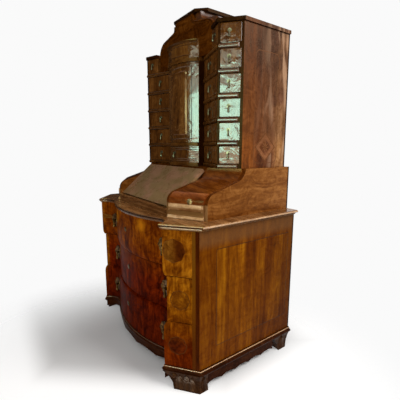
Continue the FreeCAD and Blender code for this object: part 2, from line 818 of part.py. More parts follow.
def bow_wire(half, nose, thickness_back, z):
    # Outline with a convex front, straight sides at +-half and a straight back.
    radius = DOOR_R + nose
    angle = math.asin(half / radius)
    front = arc((0, DOOR_CENTRE_Y), radius, -math.pi / 2 - angle, -math.pi / 2 + angle, z)
    y = DOOR_CENTRE_Y - radius * math.cos(angle)
    right = V(half, y, z)
    left = V(-half, y, z)
    right_back = V(half, thickness_back, z)
    left_back = V(-half, thickness_back, z)
    return Part.Wire([front, segment(right, right_back), segment(right_back, left_back), segment(left_back, left)])


def bow_board(z, height, nose, back):
    return Part.Face(bow_wire(CENTRE_HALF, nose, back, z)).extrude(V(0, 0, height))


def row_boards():
    boards = []
    for level in range(ROWS):
        z = row_z(level)
        for x0, x1, line in column_bays(level, 0.0):
            front = [(x0, line(x0) - ROW_NOSE), (x1, line(x1) - ROW_NOSE)]
            boards.append(rounded_board(front + [(x1, INSIDE_BACK), (x0, INSIDE_BACK)], z))
    boards = both_sides(boards)
    for level in (0, 1):
        boards.append(bow_board(row_z(level), ROW_BOARD_T, ROW_NOSE, INSIDE_BACK))
    return boards


def cupboard_ceiling():
    # Board over the tabernacle cupboard, which also carries the pediment.
    z = row_z(ROWS - 1)
    half = INNER_X
    cap = Part.Face(bow_wire(CENTRE_HALF, ROW_NOSE, INSIDE_BACK, z)).extrude(V(0, 0, ROW_BOARD_T))
    ears = box(CENTRE_HALF, half, DOOR_END_Y, INSIDE_BACK, z, z + ROW_BOARD_T)
    return [cap.fuse(both_sides([ears])).removeSplitter().Solids[0]]


def column_bays(level, gap):
    # Outer and inner bay of the right half. In the top row the pediment covers part of the inner bay.
    tip_in = UPPER_TIP_X - PARTITION_T / 2 - gap
    tip_out = UPPER_TIP_X + PARTITION_T / 2 + gap
    start = INNER_X + gap
    if gap and level == ROWS - 1:
        start = PEDIMENT_HALF + gap
    return [
        (tip_out, UPPER_HALF - UPPER_SIDE_T - gap, outer_y),
        (start, tip_in, inner_y),
    ]


def drop_fitting(point, out):
    # Brass rosette, post and drop in one piece, standing on a drawer front.
    rosette = Part.makeCylinder(ROSETTE_R, ROSETTE_T, point, out)
    post = Part.makeCylinder(DROP_STEM_R, DROP_REACH + DROP_STEM_R, point, out)
    drop = teardrop(point + out * DROP_REACH, DROP_LENGTH, DROP_BULB_R, DROP_STEM_R)
    return rosette.fuse([post, drop]).removeSplitter().Solids[0]


def small_drawer(bay, level):
    x0, x1, line = bay
    z0 = row_z(level) + ROW_BOARD_T + SLIDE_GAP
    z1 = row_z(level + 1) - REVEAL
    t = SMALL_FRONT_T
    w = SMALL_WALL
    back = INSIDE_BACK - REVEAL
    high = z1 - SMALL_BOX_DROP
    front = prism([(x0, line(x0)), (x1, line(x1)), (x1, line(x1) + t), (x0, line(x0) + t)], z0, z1)
    front = round_edges(front, SMALL_ROUND, lambda p: abs(p.y - line(p.x)) < 0.01)
    left = prism([(x0, line(x0) + t), (x0 + w, line(x0 + w) + t), (x0 + w, back), (x0, back)], z0, high)
    right = prism([(x1 - w, line(x1 - w) + t), (x1, line(x1) + t), (x1, back), (x1 - w, back)], z0, high)
    rear = box(x0 + w, x1 - w, back - w, back, z0, high)
    floor = [
        (x0 + w, line(x0 + w) + t),
        (x1 - w, line(x1 - w) + t),
        (x1 - w, back - w),
        (x0 + w, back - w),
    ]
    bottom = prism(floor, z0, z0 + SMALL_BOTTOM)
    middle = (x0 + x1) / 2
    slant = V(x1 - x0, line(x1) - line(x0), 0).normalize()
    out = V(slant.y, -slant.x, 0)
    fitting = drop_fitting(V(middle, line(middle), (z0 + z1) / 2 + DROP_RISE), out)
    return [front, left, right, rear, bottom, fitting]


def bow_shell(half, z0, z1, thickness):
    outer = Part.Face(bow_wire(half, 0.0, DOOR_CENTRE_Y, z0)).extrude(V(0, 0, z1 - z0))
    inner = Part.Face(bow_wire(half + REVEAL, -thickness, DOOR_CENTRE_Y + REVEAL, z0)).extrude(V(0, 0, z1 - z0))
    return outer.cut(inner).Solids[0]


def centre_drawer():
    half = CENTRE_HALF - REVEAL
    z0 = row_z(0) + ROW_BOARD_T + SLIDE_GAP
    z1 = row_z(1) - REVEAL
    front = bow_shell(half, z0, z1, SMALL_FRONT_T)
    w = SMALL_WALL
    high = z1 - SMALL_BOX_DROP
    back = INSIDE_BACK - REVEAL
    x1 = half - SMALL_FRONT_T
    x0 = x1 - w
    inner_r = DOOR_R - SMALL_FRONT_T

    def y_at(x):
        return DOOR_CENTRE_Y - math.sqrt(inner_r ** 2 - x ** 2)

    # The side walls start where the front's hollow back is furthest behind their inner corner.
    side = box(x0, x1, y_at(x1), back, z0, high)
    rear = box(-x0, x0, back - w, back, z0, high)
    bottom = box(-x0, x0, y_at(x0), back - w, z0, z0 + SMALL_BOTTOM)
    fitting = drop_fitting(V(0, DOOR_END_Y - DOOR_BULGE, (z0 + z1) / 2 + DROP_RISE), V(0, -1, 0))
    return [front, rear, bottom, fitting] + both_sides([side])


def tabernacle_door():
    z0 = row_z(1) + ROW_BOARD_T + REVEAL
    z1 = row_z(ROWS - 1) - REVEAL
    return [bow_shell(CENTRE_HALF - REVEAL, z0, z1, DOOR_T)]


def door_axis():
    return V(-CENTRE_HALF - DOOR_HINGE_R + REVEAL, DOOR_END_Y - DOOR_HINGE_R - HINGE_GAP, 0)


def hinges():
    # Barrels of the door hinges on the left post, and of the lid hinges with their leaves on the rail.
    solids = []
    axis = door_axis()
    z0 = row_z(1) + ROW_BOARD_T
    z1 = row_z(ROWS - 1)
    for z in (z0 + DOOR_HINGE_LENGTH, z1 - 2 * DOOR_HINGE_LENGTH):
        barrel = Part.makeCylinder(DOOR_HINGE_R, DOOR_HINGE_LENGTH, V(axis.x, axis.y, z))
        leaf = box(axis.x - DOOR_HINGE_R, axis.x, axis.y, DOOR_END_Y, z, z + DOOR_HINGE_LENGTH)
        solids.append(barrel.fuse(leaf).removeSplitter().Solids[0])
    pivot = lid_axis()
    for side in (-1, 1):
        x0 = side * LID_HINGE_X - LID_HINGE_LENGTH / 2
        start = V(x0, pivot.y, pivot.z)
        barrel = Part.makeCylinder(LID_HINGE_R, LID_HINGE_LENGTH, start, V(1, 0, 0))
        leaf_low = rail_top()
        leaf = box(x0, x0 + LID_HINGE_LENGTH, pivot.y - LEAF_T, pivot.y + LEAF_T, leaf_low, pivot.z)
        solids.append(barrel.fuse(leaf).removeSplitter().Solids[0])
    return solids


def upper_top():
    # Board over the columns with a small overhang, cut back behind the pediment.
    n = ROW_NOSE
    x1 = PEDIMENT_HALF
    y1 = PEDIMENT_Y + PEDIMENT_T
    right = [
        (x1, y1),
        (x1, inner_y(x1) - n),
        (UPPER_TIP_X, UPPER_TIP_Y - n),
        (UPPER_HALF + n, outer_y(UPPER_HALF + n) - n),
        (UPPER_HALF + n, BACK_Y),
    ]
    left = [(-x, y) for x, y in reversed(right)]
    board = prism(right + left, UPPER_TOP, UPPER_TOP + TOP_BOARD_T)
    return [board]


# Crown
def bell_path(foot_half, neck_half, foot_z, low_r, top_r, y):
    # Right half of the bell: a round shoulder, a gentle slope and a hollow neck, from the foot upwards.
    slope = math.radians(BELL_SLOPE)
    turn = math.pi / 2 - slope
    low_centre = V(foot_half - low_r, y, foot_z)

    def shoulder(angle):
        return low_centre + V(low_r * math.cos(angle), 0, low_r * math.sin(angle))

    shoulder_end = shoulder(turn)
    neck_reach = top_r * (1 - math.sin(slope))
    run = (shoulder_end.x - neck_half - neck_reach) / math.cos(slope)
    line_end = shoulder_end + V(-run * math.cos(slope), 0, run * math.sin(slope))
    top_centre = line_end + V(top_r * math.sin(slope), 0, top_r * math.cos(slope))

    def neck(angle):
        return top_centre + V(-top_r * math.sin(angle), 0, -top_r * math.cos(angle))

    return [
        Part.Arc(shoulder(0), shoulder(turn / 2), shoulder_end).toShape(),
        segment(shoulder_end, line_end),
        Part.Arc(line_end, neck((slope + math.pi / 2) / 2), neck(math.pi / 2)).toShape(),
    ]


def bell_outline(foot_half, neck_half, foot_z, low_r, top_r, y, low_z, high_z):
    # Closed bell from low_z to high_z, with straight sides below the shoulder and above the neck.
    right = bell_path(foot_half, neck_half, foot_z, low_r, top_r, y)
    neck_top = right[-1].Vertexes[-1].Point
    edges = both_sides(right)
    for side in (-1, 1):
        if low_z < foot_z:
            edges.append(segment(V(side * foot_half, y, low_z), V(side * foot_half, y, foot_z)))
        edges.append(segment(V(side * neck_top.x, y, neck_top.z), V(side * neck_top.x, y, high_z)))
    edges.append(segment(V(-foot_half, y, low_z), V(foot_half, y, low_z)))
    edges.append(segment(V(-neck_top.x, y, high_z), V(neck_top.x, y, high_z)))
    return Part.Wire(Part.__sortEdges__(edges))


PEDIMENT_RUN = bell_path(PEDIMENT_HALF, BELL_NECK_HALF, UPPER_TOP, BELL_LOW_R, BELL_TOP_R, 0)
CAP_Z = PEDIMENT_RUN[-1].Vertexes[-1].Point.z + NECK_STRAIGHT


def pediment():
    # Bell-shaped front board, and the convex frieze block that stands on it over the door.
    wire = bell_outline(
        PEDIMENT_HALF, BELL_NECK_HALF, UPPER_TOP, BELL_LOW_R, BELL_TOP_R, PEDIMENT_Y, FRIEZE_Z, CAP_Z
    )
    board = Part.Face(wire).extrude(V(0, PEDIMENT_T, 0))
    half = CENTRE_HALF - REVEAL
    frieze = Part.Face(bow_wire(half, 0.0, PEDIMENT_Y, FRIEZE_Z)).extrude(V(0, 0, UPPER_TOP - FRIEZE_Z))
    return [board, frieze]


def roof_outline(inset, y, low_z):
    return bell_outline(
        ROOF_FOOT_HALF - inset,
        ROOF_NECK_HALF - inset,
        UPPER_TOP + TOP_BOARD_T,
        ROOF_LOW_R - inset,
        BELL_TOP_R + inset,
        y,
        low_z,
        CAP_Z,
    )


def crown_roof():
    # Bent boards that carry the bell shape to the back, and the board that closes their front.
    y0 = PEDIMENT_Y + PEDIMENT_T
    foot = UPPER_TOP + TOP_BOARD_T
    length = V(0, INSIDE_BACK - y0, 0)
    outer = Part.Face(roof_outline(0.0, y0, foot)).extrude(length)
    inner = Part.Face(roof_outline(ROOF_T, y0, foot)).extrude(length)
    gable = Part.Face(roof_outline(ROOF_T, y0, foot)).extrude(V(0, ROOF_T, 0))
    return outer.cut(inner).Solids + [gable]


def cornice_cap():
    front = PEDIMENT_Y - REVEAL
    right = [(CAP_FRONT_HALF, front), (CAP_SIDE_HALF, front + CAP_CANT), (CAP_SIDE_HALF, BACK_Y)]
    left = [(-x, y) for x, y in reversed(right)]
    cap = prism(right + left, CAP_Z, CAP_Z + CAP_T)

    def low_front(p):
        return abs(p.z - CAP_Z) < 0.01 and p.y < BACK_Y

    edges = [edge for edge in cap.Edges if all(low_front(vertex.Point) for vertex in edge.Vertexes)]
    return [cap.makeChamfer(CAP_BEVEL, edges)]


def back_panels():
    foot = UPPER_TOP + TOP_BOARD_T
    roof = Part.Face(roof_outline(0.0, INSIDE_BACK, foot)).extrude(V(0, BACK_T, 0))
    return [
        box(-BASE_HALF, BASE_HALF, INSIDE_BACK, BACK_Y, CARCASS_Z, CARCASS_TOP),
        box(-DESK_HALF, DESK_HALF, INSIDE_BACK, BACK_Y, BASE_TOP, DESK_TOP),
        box(-UPPER_HALF, UPPER_HALF, INSIDE_BACK, BACK_Y, DESK_TOP, UPPER_TOP),
        roof,
    ]


def write_all():
    os.makedirs("parts", exist_ok=True)
    save("base_sides", base_sides())
    save("base_corner_posts", base_corner_posts())
    save("base_dust_boards", base_boards())
    save("base_drawer_guides", base_drawer_guides())
    save("base_top", base_top())
    save("plinth_board", plinth_board())
    save("aprons", aprons())
    save("feet", feet())
    for row, name in enumerate(("bottom", "middle", "top")):
        save("base_drawer_" + name, base_drawer(row) + base_drawer_fittings(row))
        save("pull_left_" + name, pull_drop(row, -1))
        save("pull_right_" + name, pull_drop(row, 1))
    save("desk_sides", desk_sides())
    save("desk_floor", desk_floor())
    save("desk_front_rail", desk_front_rail())
    save("desk_shoulders", desk_shoulders())
    save("desk_top", desk_top())
    right_corner = corner_drawer()
    save("corner_drawer_right", right_corner)
    save("corner_drawer_left", [mirrored(solid) for solid in right_corner])
    save("writing_lid", writing_lid())
    save("upper_sides", upper_sides())
    save("upper_partitions", upper_partitions())
    save("row_boards", row_boards() + cupboard_ceiling())
    for level in range(ROWS):
        number = str(ROWS - level)
        for column, bay in zip(("outer", "inner"), column_bays(level, SLIDE_GAP)):
            solids = small_drawer(bay, level)
            save("drawer_right_" + column + "_" + number, solids)
            save("drawer_left_" + column + "_" + number, [mirrored(solid) for solid in solids])
    save("centre_drawer", centre_drawer())
    save("tabernacle_door", tabernacle_door())
    save("hinges", hinges())
    save("upper_top", upper_top())
    save("pediment", pediment())
    save("crown_roof", crown_roof())
    save("cornice_cap", cornice_cap())
    save("back_panels", back_panels())


write_all()
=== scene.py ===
import bmesh
import bpy
import math
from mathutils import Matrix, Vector
from mathutils.bvhtree import BVHTree

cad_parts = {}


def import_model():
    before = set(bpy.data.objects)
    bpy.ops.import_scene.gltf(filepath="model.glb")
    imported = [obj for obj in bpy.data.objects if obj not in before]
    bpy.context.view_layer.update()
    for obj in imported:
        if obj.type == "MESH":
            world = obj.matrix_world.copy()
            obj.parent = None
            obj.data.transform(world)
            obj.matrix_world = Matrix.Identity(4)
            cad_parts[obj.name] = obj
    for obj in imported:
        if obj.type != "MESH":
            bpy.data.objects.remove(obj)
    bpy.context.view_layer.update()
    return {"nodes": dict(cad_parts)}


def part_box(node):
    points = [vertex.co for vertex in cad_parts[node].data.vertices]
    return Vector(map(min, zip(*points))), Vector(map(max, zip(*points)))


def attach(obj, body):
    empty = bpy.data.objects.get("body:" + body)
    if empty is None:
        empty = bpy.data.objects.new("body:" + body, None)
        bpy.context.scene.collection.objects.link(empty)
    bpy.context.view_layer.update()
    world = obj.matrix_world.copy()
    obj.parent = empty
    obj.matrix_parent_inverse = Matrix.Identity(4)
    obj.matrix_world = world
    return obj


# Looks of a walnut tabernacle secretary, in metres. The front faces -Y and +Z is up.
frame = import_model()
NODES = frame["nodes"]

# View of the photograph
CAMERA_PLACE = (1.688, -1.041, 1.211)
CAMERA_AZIMUTH = 54.73
CAMERA_TILT = 9.7
CAMERA_LENS = 27.3
SENSOR_WIDTH = 36.0

# Proud height of thin pieces laid on the carcass
INLAY_LIFT = 0.0004

BASE_ROWS = ("bottom", "middle", "top")
SIDES = (("left", -1), ("right", 1))
SMALL_ROWS = range(1, 7)
COLUMNS = ["%s_%s" % (side, column) for side, sign in SIDES for column in ("outer", "inner")]
SMALL_DRAWERS = ["drawer_%s_%d" % (column, row) for column in COLUMNS for row in SMALL_ROWS]
BASE_DRAWERS = ["base_drawer_" + row for row in BASE_ROWS]
PULLS = ["pull_%s_%s" % (side, row) for side, sign in SIDES for row in BASE_ROWS]
RIGHT = Vector((1, 0, 0))
BACK = Vector((0, 1, 0))
FRONT = Vector((0, -1, 0))
UP = Vector((0, 0, 1))


def rgb(red, green, blue):
    # Linear colour of a screen colour, each channel from 0 to 255.
    def linear(value):
        share = value / 255
        return share / 12.92 if share <= 0.04045 else ((share + 0.055) / 1.055) ** 2.4

    return (linear(red), linear(green), linear(blue), 1.0)


class Tree:
    """A node tree, with short calls that add and join nodes."""

    def __init__(self, tree):
        self.tree = tree

    def node(self, kind, **settings):
        made = self.tree.nodes.new(kind)
        for key, value in settings.items():
            setattr(made, key, value)
        return made

    def feed(self, socket, value):
        if isinstance(value, bpy.types.NodeSocket):
            self.tree.links.new(value, socket)
        else:
            socket.default_value = value

    def fed(self, made, *values):
        # The first output of a node whose first inputs get these values.
        for socket, value in zip(made.inputs, values):
            self.feed(socket, value)
        return made.outputs[0]

    def sums(self, operation, a, b=0.0, c=0.0):
        return self.fed(self.node("ShaderNodeMath", operation=operation), a, b, c)

    def both(self, a, b):
        return self.sums("MULTIPLY", a, b)

    def larger(self, a, b):
        return self.sums("MAXIMUM", a, b)

    def mix(self, factor, a, b, blend="MIX"):
        made = self.node("ShaderNodeMix", data_type="RGBA", blend_type=blend)
        self.feed(made.inputs[0], factor)
        self.feed(made.inputs[6], a)
        self.feed(made.inputs[7], b)
        return made.outputs[2]

    def seen(self):
        # One for rays from the eye or from a polished surface, nought for all others.
        path = self.node("ShaderNodeLightPath").outputs
        eye = self.larger(path["Is Camera Ray"], path["Is Glossy Ray"])
        return self.larger(eye, path["Is Transmission Ray"])


class Finish(Tree):
    """A material, with short calls for its pattern, colour and relief."""

    def __init__(self, name):
        self.material = bpy.data.materials.new(name)
        self.material.use_nodes = True
        super().__init__(self.material.node_tree)
        self.shader = self.tree.nodes["Principled BSDF"]
        self.place = self.node("ShaderNodeTexCoord").outputs["Object"]
        self.split = self.node("ShaderNodeSeparateXYZ")
        self.feed(self.split.inputs[0], self.place)

    def axis(self, name):
        return self.split.outputs[name]

    def aside(self):
        # Distance from the middle plane of the object.
        return self.sums("ABSOLUTE", self.axis("X"))

    def moved(self, vector, offset):
        return self.fed(self.node("ShaderNodeVectorMath", operation="ADD"), vector, offset)

    def scaled(self, vector, scale):
        return self.fed(self.node("ShaderNodeVectorMath", operation="MULTIPLY"), vector, scale)

    def noise(self, vector, *values, colour=False):
        made = self.node("ShaderNodeTexNoise")
        self.feed(made.inputs["Vector"], vector)
        for key, value in zip(("Scale", "Detail", "Roughness", "Distortion"), values):
            self.feed(made.inputs[key], value)
        return made.outputs["Color" if colour else "Fac"]

    def ramp(self, factor, stops):
        made = self.node("ShaderNodeValToRGB")
        self.feed(made.inputs[0], factor)
        line = made.color_ramp
        stops = list(stops)
        while len(line.elements) < len(stops):
            line.elements.new(1.0)
        for element, (place, colour) in zip(line.elements, stops):
            element.position = place
            element.color = colour
        return made.outputs["Color"]

    def tinted(self, colour, tone, factor=1.0):
        return self.mix(factor, colour, tone, "MULTIPLY")

    def span(self, value, low, high, to_low=0.0, to_high=1.0):
        # Smooth step of a value from one level to another.
        made = self.node("ShaderNodeMapRange", interpolation_type="SMOOTHSTEP")
        return self.fed(made, value, low, high, to_low, to_high)

    def along(self, name, low, high, to_low=0.0, to_high=1.0):
        return self.span(self.axis(name), low, high, to_low, to_high)

    def clouds(self, noise, limits, stretch=(1.0, 1.0, 1.0), depth=1.0):
        # Soft patches, from nought to depth between the two limits of a noise.
        return self.span(self.noise(self.scaled(self.place, stretch), *noise), *limits, 0.0, depth)

    def bump(self, height, strength, distance):
        made = self.node("ShaderNodeBump")
        made.inputs["Strength"].default_value = strength
        made.inputs["Distance"].default_value = distance
        self.feed(made.inputs["Height"], height)
        self.feed(self.shader.inputs["Normal"], made.outputs[0])

    def set(self, **values):
        for key, value in values.items():
            self.feed(self.shader.inputs[key.replace("_", " ")], value)


GRAIN_STRETCH = {"X": (0.10, 1.0, 1.0), "Y": (1.0, 0.10, 1.0), "Z": (1.0, 1.0, 0.10)}
SHELLAC_TINT = (1.0, 0.62, 0.26, 1.0)
CLEAR_TINT = (1.0, 1.0, 1.0, 1.0)
COPPER_TINT = (1.0, 0.58, 0.34, 1.0)
GRAIN_RELIEF = 0.00007
# Strength and tint of the shine of each polish
FLAT = (0.008, SHELLAC_TINT)
DULL = (0.03, SHELLAC_TINT)
SATIN = (0.07, SHELLAC_TINT)
WAXED = (0.16, SHELLAC_TINT)
POLISHED = (0.34, SHELLAC_TINT)
MIRROR = (0.60, CLEAR_TINT)
COPPERY = (0.60, COPPER_TINT)

# Noises of the wood: scale, detail, roughness, distortion
DRIFT = (3.0, 2.0)
STREAKS = (85.0, 5.0, 0.6)
FLAME = (17.0, 3.0, 0.5)
BURL = (15.0, 6.0, 0.62)
WIDE = (2.6, 2.0)
PORES = (900.0, 2.0, 0.7)
RIPPLES = (13.0, 3.0, 0.45, 0.6)
# How much each noise moves the colour, and what a strong figure adds to its warp and burl
STREAK_SHARE = 0.30
FLAME_SHARE = 0.34
BURL_SHARE = 0.16
WIDE_SHARE = 0.20
FIGURE_SHARE = 0.16
FIGURE_WARP = 0.10
FLAME_TWIST = 1.4
BURL_TWIST = 2.8
OWN_SHIFT = (7.0, 5.0, 3.0)
WOOD_STOPS = (0.36, 0.49, 0.62)
PORE_RANGE = (0.30, 0.46)
PORE_DEPTH = 0.45
FLAME_RELIEF = 0.5
GLOSS_RANGE = (0.3, 0.7)
SOFT_GLOSS = (0.22, 0.38)
BRASS_CLOUD = (60.0, 4.0, 0.6)
BRASS_FINE = (700.0, 2.0)
BRASS_STOPS = (0.35, 0.52, 0.70)
BRASS_GLOSS = (0.50, 0.34)
BRASS_RELIEF = 0.0002
BRASS_PITS = 0.15


def wood(name, dark, mid, light, grain, figure, gloss=SOFT_GLOSS, shade=None, polish=WAXED, wave=0.0):
    # Polished veneer: streaks along the grain, burl figure across them, open pores and an old shellac coat.
    # Colours are screen colours, and wave is the height of the coat's ripples in metres.
    made = Finish(name)
    tones = [rgb(*tone) for tone in (dark, mid, light)]
    own = made.node("ShaderNodeObjectInfo").outputs["Random"]
    shifted = made.moved(made.place, made.scaled(OWN_SHIFT, own))
    drift = made.noise(shifted, *DRIFT, colour=True)
    warped = made.moved(shifted, made.scaled(drift, (FIGURE_WARP * figure,) * 3))
    grained = made.scaled(warped, GRAIN_STRETCH[grain])
    streaks = made.noise(grained, *STREAKS)
    flame = made.noise(grained, *FLAME, FLAME_TWIST * figure)
    burl = made.noise(warped, *BURL, BURL_TWIST * figure)
    wide = made.noise(warped, *WIDE)
    blend = made.both(streaks, STREAK_SHARE)
    blend = made.sums("MULTIPLY_ADD", flame, FLAME_SHARE, blend)
    blend = made.sums("MULTIPLY_ADD", burl, BURL_SHARE + FIGURE_SHARE * figure, blend)
    blend = made.sums("MULTIPLY_ADD", wide, WIDE_SHARE - FIGURE_SHARE * figure, blend)
    colour = made.ramp(blend, zip(WOOD_STOPS, tones))
    if shade:
        colour = shade(made, colour)
    open_pores = made.span(made.noise(grained, *PORES), *PORE_RANGE)
    colour = made.mix(made.span(open_pores, 0.0, 1.0, PORE_DEPTH, 0.0), colour, tones[0])
    made.set(Base_Color=colour, Roughness=made.span(burl, *GLOSS_RANGE, *gloss))
    made.set(Specular_IOR_Level=polish[0], Specular_Tint=polish[1])
    relief = made.both(made.sums("MULTIPLY_ADD", flame, FLAME_RELIEF, open_pores), GRAIN_RELIEF)
    if wave:
        relief = made.sums("MULTIPLY_ADD", made.noise(shifted, *RIPPLES), wave, relief)
    made.bump(relief, 1.0, 1.0)
    return made


def brass_finish(name, *tones):
    made = Finish(name)
    cloud = made.noise(made.place, *BRASS_CLOUD)
    colour = made.ramp(cloud, zip(BRASS_STOPS, [rgb(*tone) for tone in tones]))
    made.set(Base_Color=colour, Metallic=1.0, Roughness=made.span(cloud, *GLOSS_RANGE, *BRASS_GLOSS))
    made.bump(made.noise(made.place, *BRASS_FINE), BRASS_PITS, BRASS_RELIEF)
    return made


# Heights of the middles of the three long drawers, where the wings begin, and the front's clouds and knot
DRAWER_MIDDLES = (0.24, 0.48, 0.72)
WING_RANGE = (0.436, 0.450)
WING_CLOUD = 0.62
CLOUD_STRETCH = (1.0, 1.0, 0.7)
CLOUD_NOISE = (10.0, 5.0, 0.62, 1.6)
CLOUD_STOPS = (0.37, 0.50, 0.63)
CLOUD_TONES = ((0.46, 0.34, 0.28, 1.0), (0.92, 0.88, 0.84, 1.0), (1.35, 1.42, 1.30, 1.0))
KNOT_X = 0.175
KNOT_Z = 0.790
KNOT_RANGE = (0.02, 0.085)
KNOT_NOISE = (38.0, 4.0)
KNOT_RAGGED = 0.05
KNOT_GLOW = 0.85


def by_drawer(made, tones):
    # Colour that changes from drawer to drawer up the front.
    return made.ramp(made.axis("Z"), zip(DRAWER_MIDDLES, tones))


def wing_shade(made, colour):
    # Dark bow and hollows, golden wings, darkest on the lowest drawer, with one glowing knot on the bow.
    across = made.aside()
    wing = made.span(across, *WING_RANGE)
    bow = by_drawer(made, (rgb(148, 82, 58), rgb(176, 98, 66), rgb(214, 186, 140)))
    ends = by_drawer(made, (rgb(166, 108, 80), rgb(255, 255, 206), rgb(255, 255, 244)))
    colour = made.tinted(colour, made.mix(wing, bow, ends))
    cloud = made.noise(made.scaled(made.place, CLOUD_STRETCH), *CLOUD_NOISE)
    tone = made.ramp(cloud, zip(CLOUD_STOPS, CLOUD_TONES))
    colour = made.tinted(colour, tone, made.span(across, *WING_RANGE, 1.0, WING_CLOUD))
    aside = made.sums("SUBTRACT", across, KNOT_X)
    above = made.sums("SUBTRACT", made.axis("Z"), KNOT_Z)
    square = made.sums("MULTIPLY_ADD", above, above, made.both(aside, aside))
    edge = made.noise(made.place, *KNOT_NOISE)
    ragged = made.sums("MULTIPLY_ADD", edge, KNOT_RAGGED, made.sums("SQRT", square))
    return made.mix(made.span(ragged, *KNOT_RANGE, KNOT_GLOW, 0.0), colour, rgb(206, 126, 18))


# Framed field of the base's sides, its stripes and the painted reflection on the border over it.
# Patches of all sorts are given as their noise, its limits, their stretch and their depth.
FIELD_Y = (-0.166, 0.360)
FIELD_Z = (0.219, 0.730)
FIELD_SOFT = 0.002
STRIPES = ((14.0, 3.0, 0.55), (0.42, 0.68), (1.0, 1.0, 0.06))
FIELD_BACK = (0.10, 0.38)
FIELD_BACK_DEPTH = 0.55
BORDER_SHEEN_RISE = 0.05
BORDER_SHEEN_SHARE = 0.5


def about(place, soft):
    return place - soft, place + soft


def inside(made, axis, low, high):
    # One within a range of a coordinate and nought outside it.
    over = made.along(axis, *about(low, FIELD_SOFT))
    return made.both(over, made.along(axis, *about(high, FIELD_SOFT), 1.0, 0.0))


def base_side_shade(made, colour):
    # A framed field with amber stripes, and a duller border that darkens to the back and is greyed above the
    # field by a painted reflection.
    field = made.both(inside(made, "Y", *FIELD_Y), inside(made, "Z", *FIELD_Z))
    amber = made.mix(made.clouds(*STRIPES), rgb(182, 160, 140), rgb(255, 255, 232))
    tone = made.mix(field, rgb(204, 188, 168), amber)
    dim = made.mix(FIELD_BACK_DEPTH, tone, rgb(120, 96, 90))
    colour = made.tinted(colour, made.mix(made.along("Y", *FIELD_BACK), tone, dim))
    # Painted reflection: the border above the field is greyed towards a pale brown.
    painted_sheen = made.along("Z", FIELD_Z[1] - FIELD_SOFT, FIELD_Z[1] + BORDER_SHEEN_RISE, 0.0, BORDER_SHEEN_SHARE)
    return made.mix(painted_sheen, colour, rgb(116, 82, 50))


# Upper sides: where each tone begins and is full, front to back and up
UPPER_STRIP = (0.143, 0.153)
UPPER_INNER = (0.18, 0.25)
UPPER_BEHIND = (0.290, 0.330)
UPPER_HIGH = (1.40, 1.72)
UPPER_LOW = (1.20, 1.31)
UPPER_BORDER_SHEEN = (1.30, 1.40, 1.55, 1.0)
UPPER_FOOT = (1.60, 1.60, 1.30, 1.0)
GLOOM = ((7.0, 3.0, 0.5, 0.8), (0.46, 0.60), (1.0, 1.0, 0.55))
GLOOM_FROM = (0.14, 0.20)
UPPER_SHEEN_STREAKS = ((15.0, 3.0, 0.5, 0.8), (0.48, 0.66), (1.0, 1.0, 0.16), 0.66)
SHEEN_STREAKS_FROM = (0.18, 0.36)
SHEEN_STREAKS_IN_FRONT = 0.1


def upper_side_shade(made, colour):
    # An orange strip in front, a mottled red field that is darker towards the top and paler towards the foot,
    # and behind them a paler border and pale streaks that are a painted reflection.
    inner = made.along("Y", *UPPER_INNER)
    field = made.mix(inner, rgb(222, 188, 156), rgb(236, 222, 226))
    tone = made.mix(made.along("Y", *UPPER_STRIP), rgb(252, 216, 168), field)
    # Painted reflection: the border behind is made paler and bluer.
    tone = made.mix(made.along("Y", *UPPER_BEHIND), tone, UPPER_BORDER_SHEEN)
    dim = made.mix(inner, rgb(186, 160, 128), rgb(200, 194, 194))
    tone = made.tinted(tone, dim, made.along("Z", *UPPER_HIGH))
    tone = made.tinted(tone, UPPER_FOOT, made.along("Z", *UPPER_LOW, 1.0, 0.0))
    gloom = made.both(made.clouds(*GLOOM), made.along("Y", *GLOOM_FROM))
    colour = made.tinted(colour, made.tinted(tone, rgb(206, 190, 200), gloom))
    # Painted reflection: pale streaks that grow towards the back.
    painted_sheen = made.both(made.clouds(*UPPER_SHEEN_STREAKS), made.along("Y", *SHEEN_STREAKS_FROM, SHEEN_STREAKS_IN_FRONT, 1.0))
    return made.mix(painted_sheen, colour, rgb(186, 146, 114))


SAND_RANGE = (0.478, 0.512)


def sand_shade(made, colour):
    # Sand-shaded veneer: scorched dark towards the corner of the wing.
    return made.tinted(colour, rgb(186, 146, 112), made.span(made.aside(), *SAND_RANGE))


POST_DARK_FROM = 0.577
POST_SOFT = 0.002


def post_shade(made, colour):
    # Only the outer edge of the post is dark; the rest matches the golden wing.
    dark = made.span(made.aside(), *about(POST_DARK_FROM, POST_SOFT))
    gold = by_drawer(made, (rgb(90, 42, 4), rgb(118, 66, 6), rgb(116, 70, 12)))
    return made.mix(dark, gold, colour)


# Roll at the foot of the corner blocks: its height, where it is pale, and the ends beside it
ROLL_LOW = 0.900
ROLL_HIGH = 0.936
ROLL_SOFT = 0.004
ROLL_GOLD = 0.85
CREST_FOOT = (0.912, 0.922)
CREST_HEAD = (0.930, 0.937)
LEDGE_HEAD = (0.886, 0.896)
BLOCK_END = 0.520
BLOCK_SOFT = 0.001


def corner_shade(made, colour):
    # Gold at the foot of the corner blocks, paler on their ends, and redder wood above it.
    gold = made.along("Z", *about(ROLL_HIGH, ROLL_SOFT), ROLL_GOLD, 0.0)
    red = made.tinted(colour, rgb(255, 222, 200))
    end = made.span(made.aside(), *about(BLOCK_END, BLOCK_SOFT))
    return made.mix(gold, red, made.mix(end, rgb(136, 98, 54), rgb(178, 134, 84)))


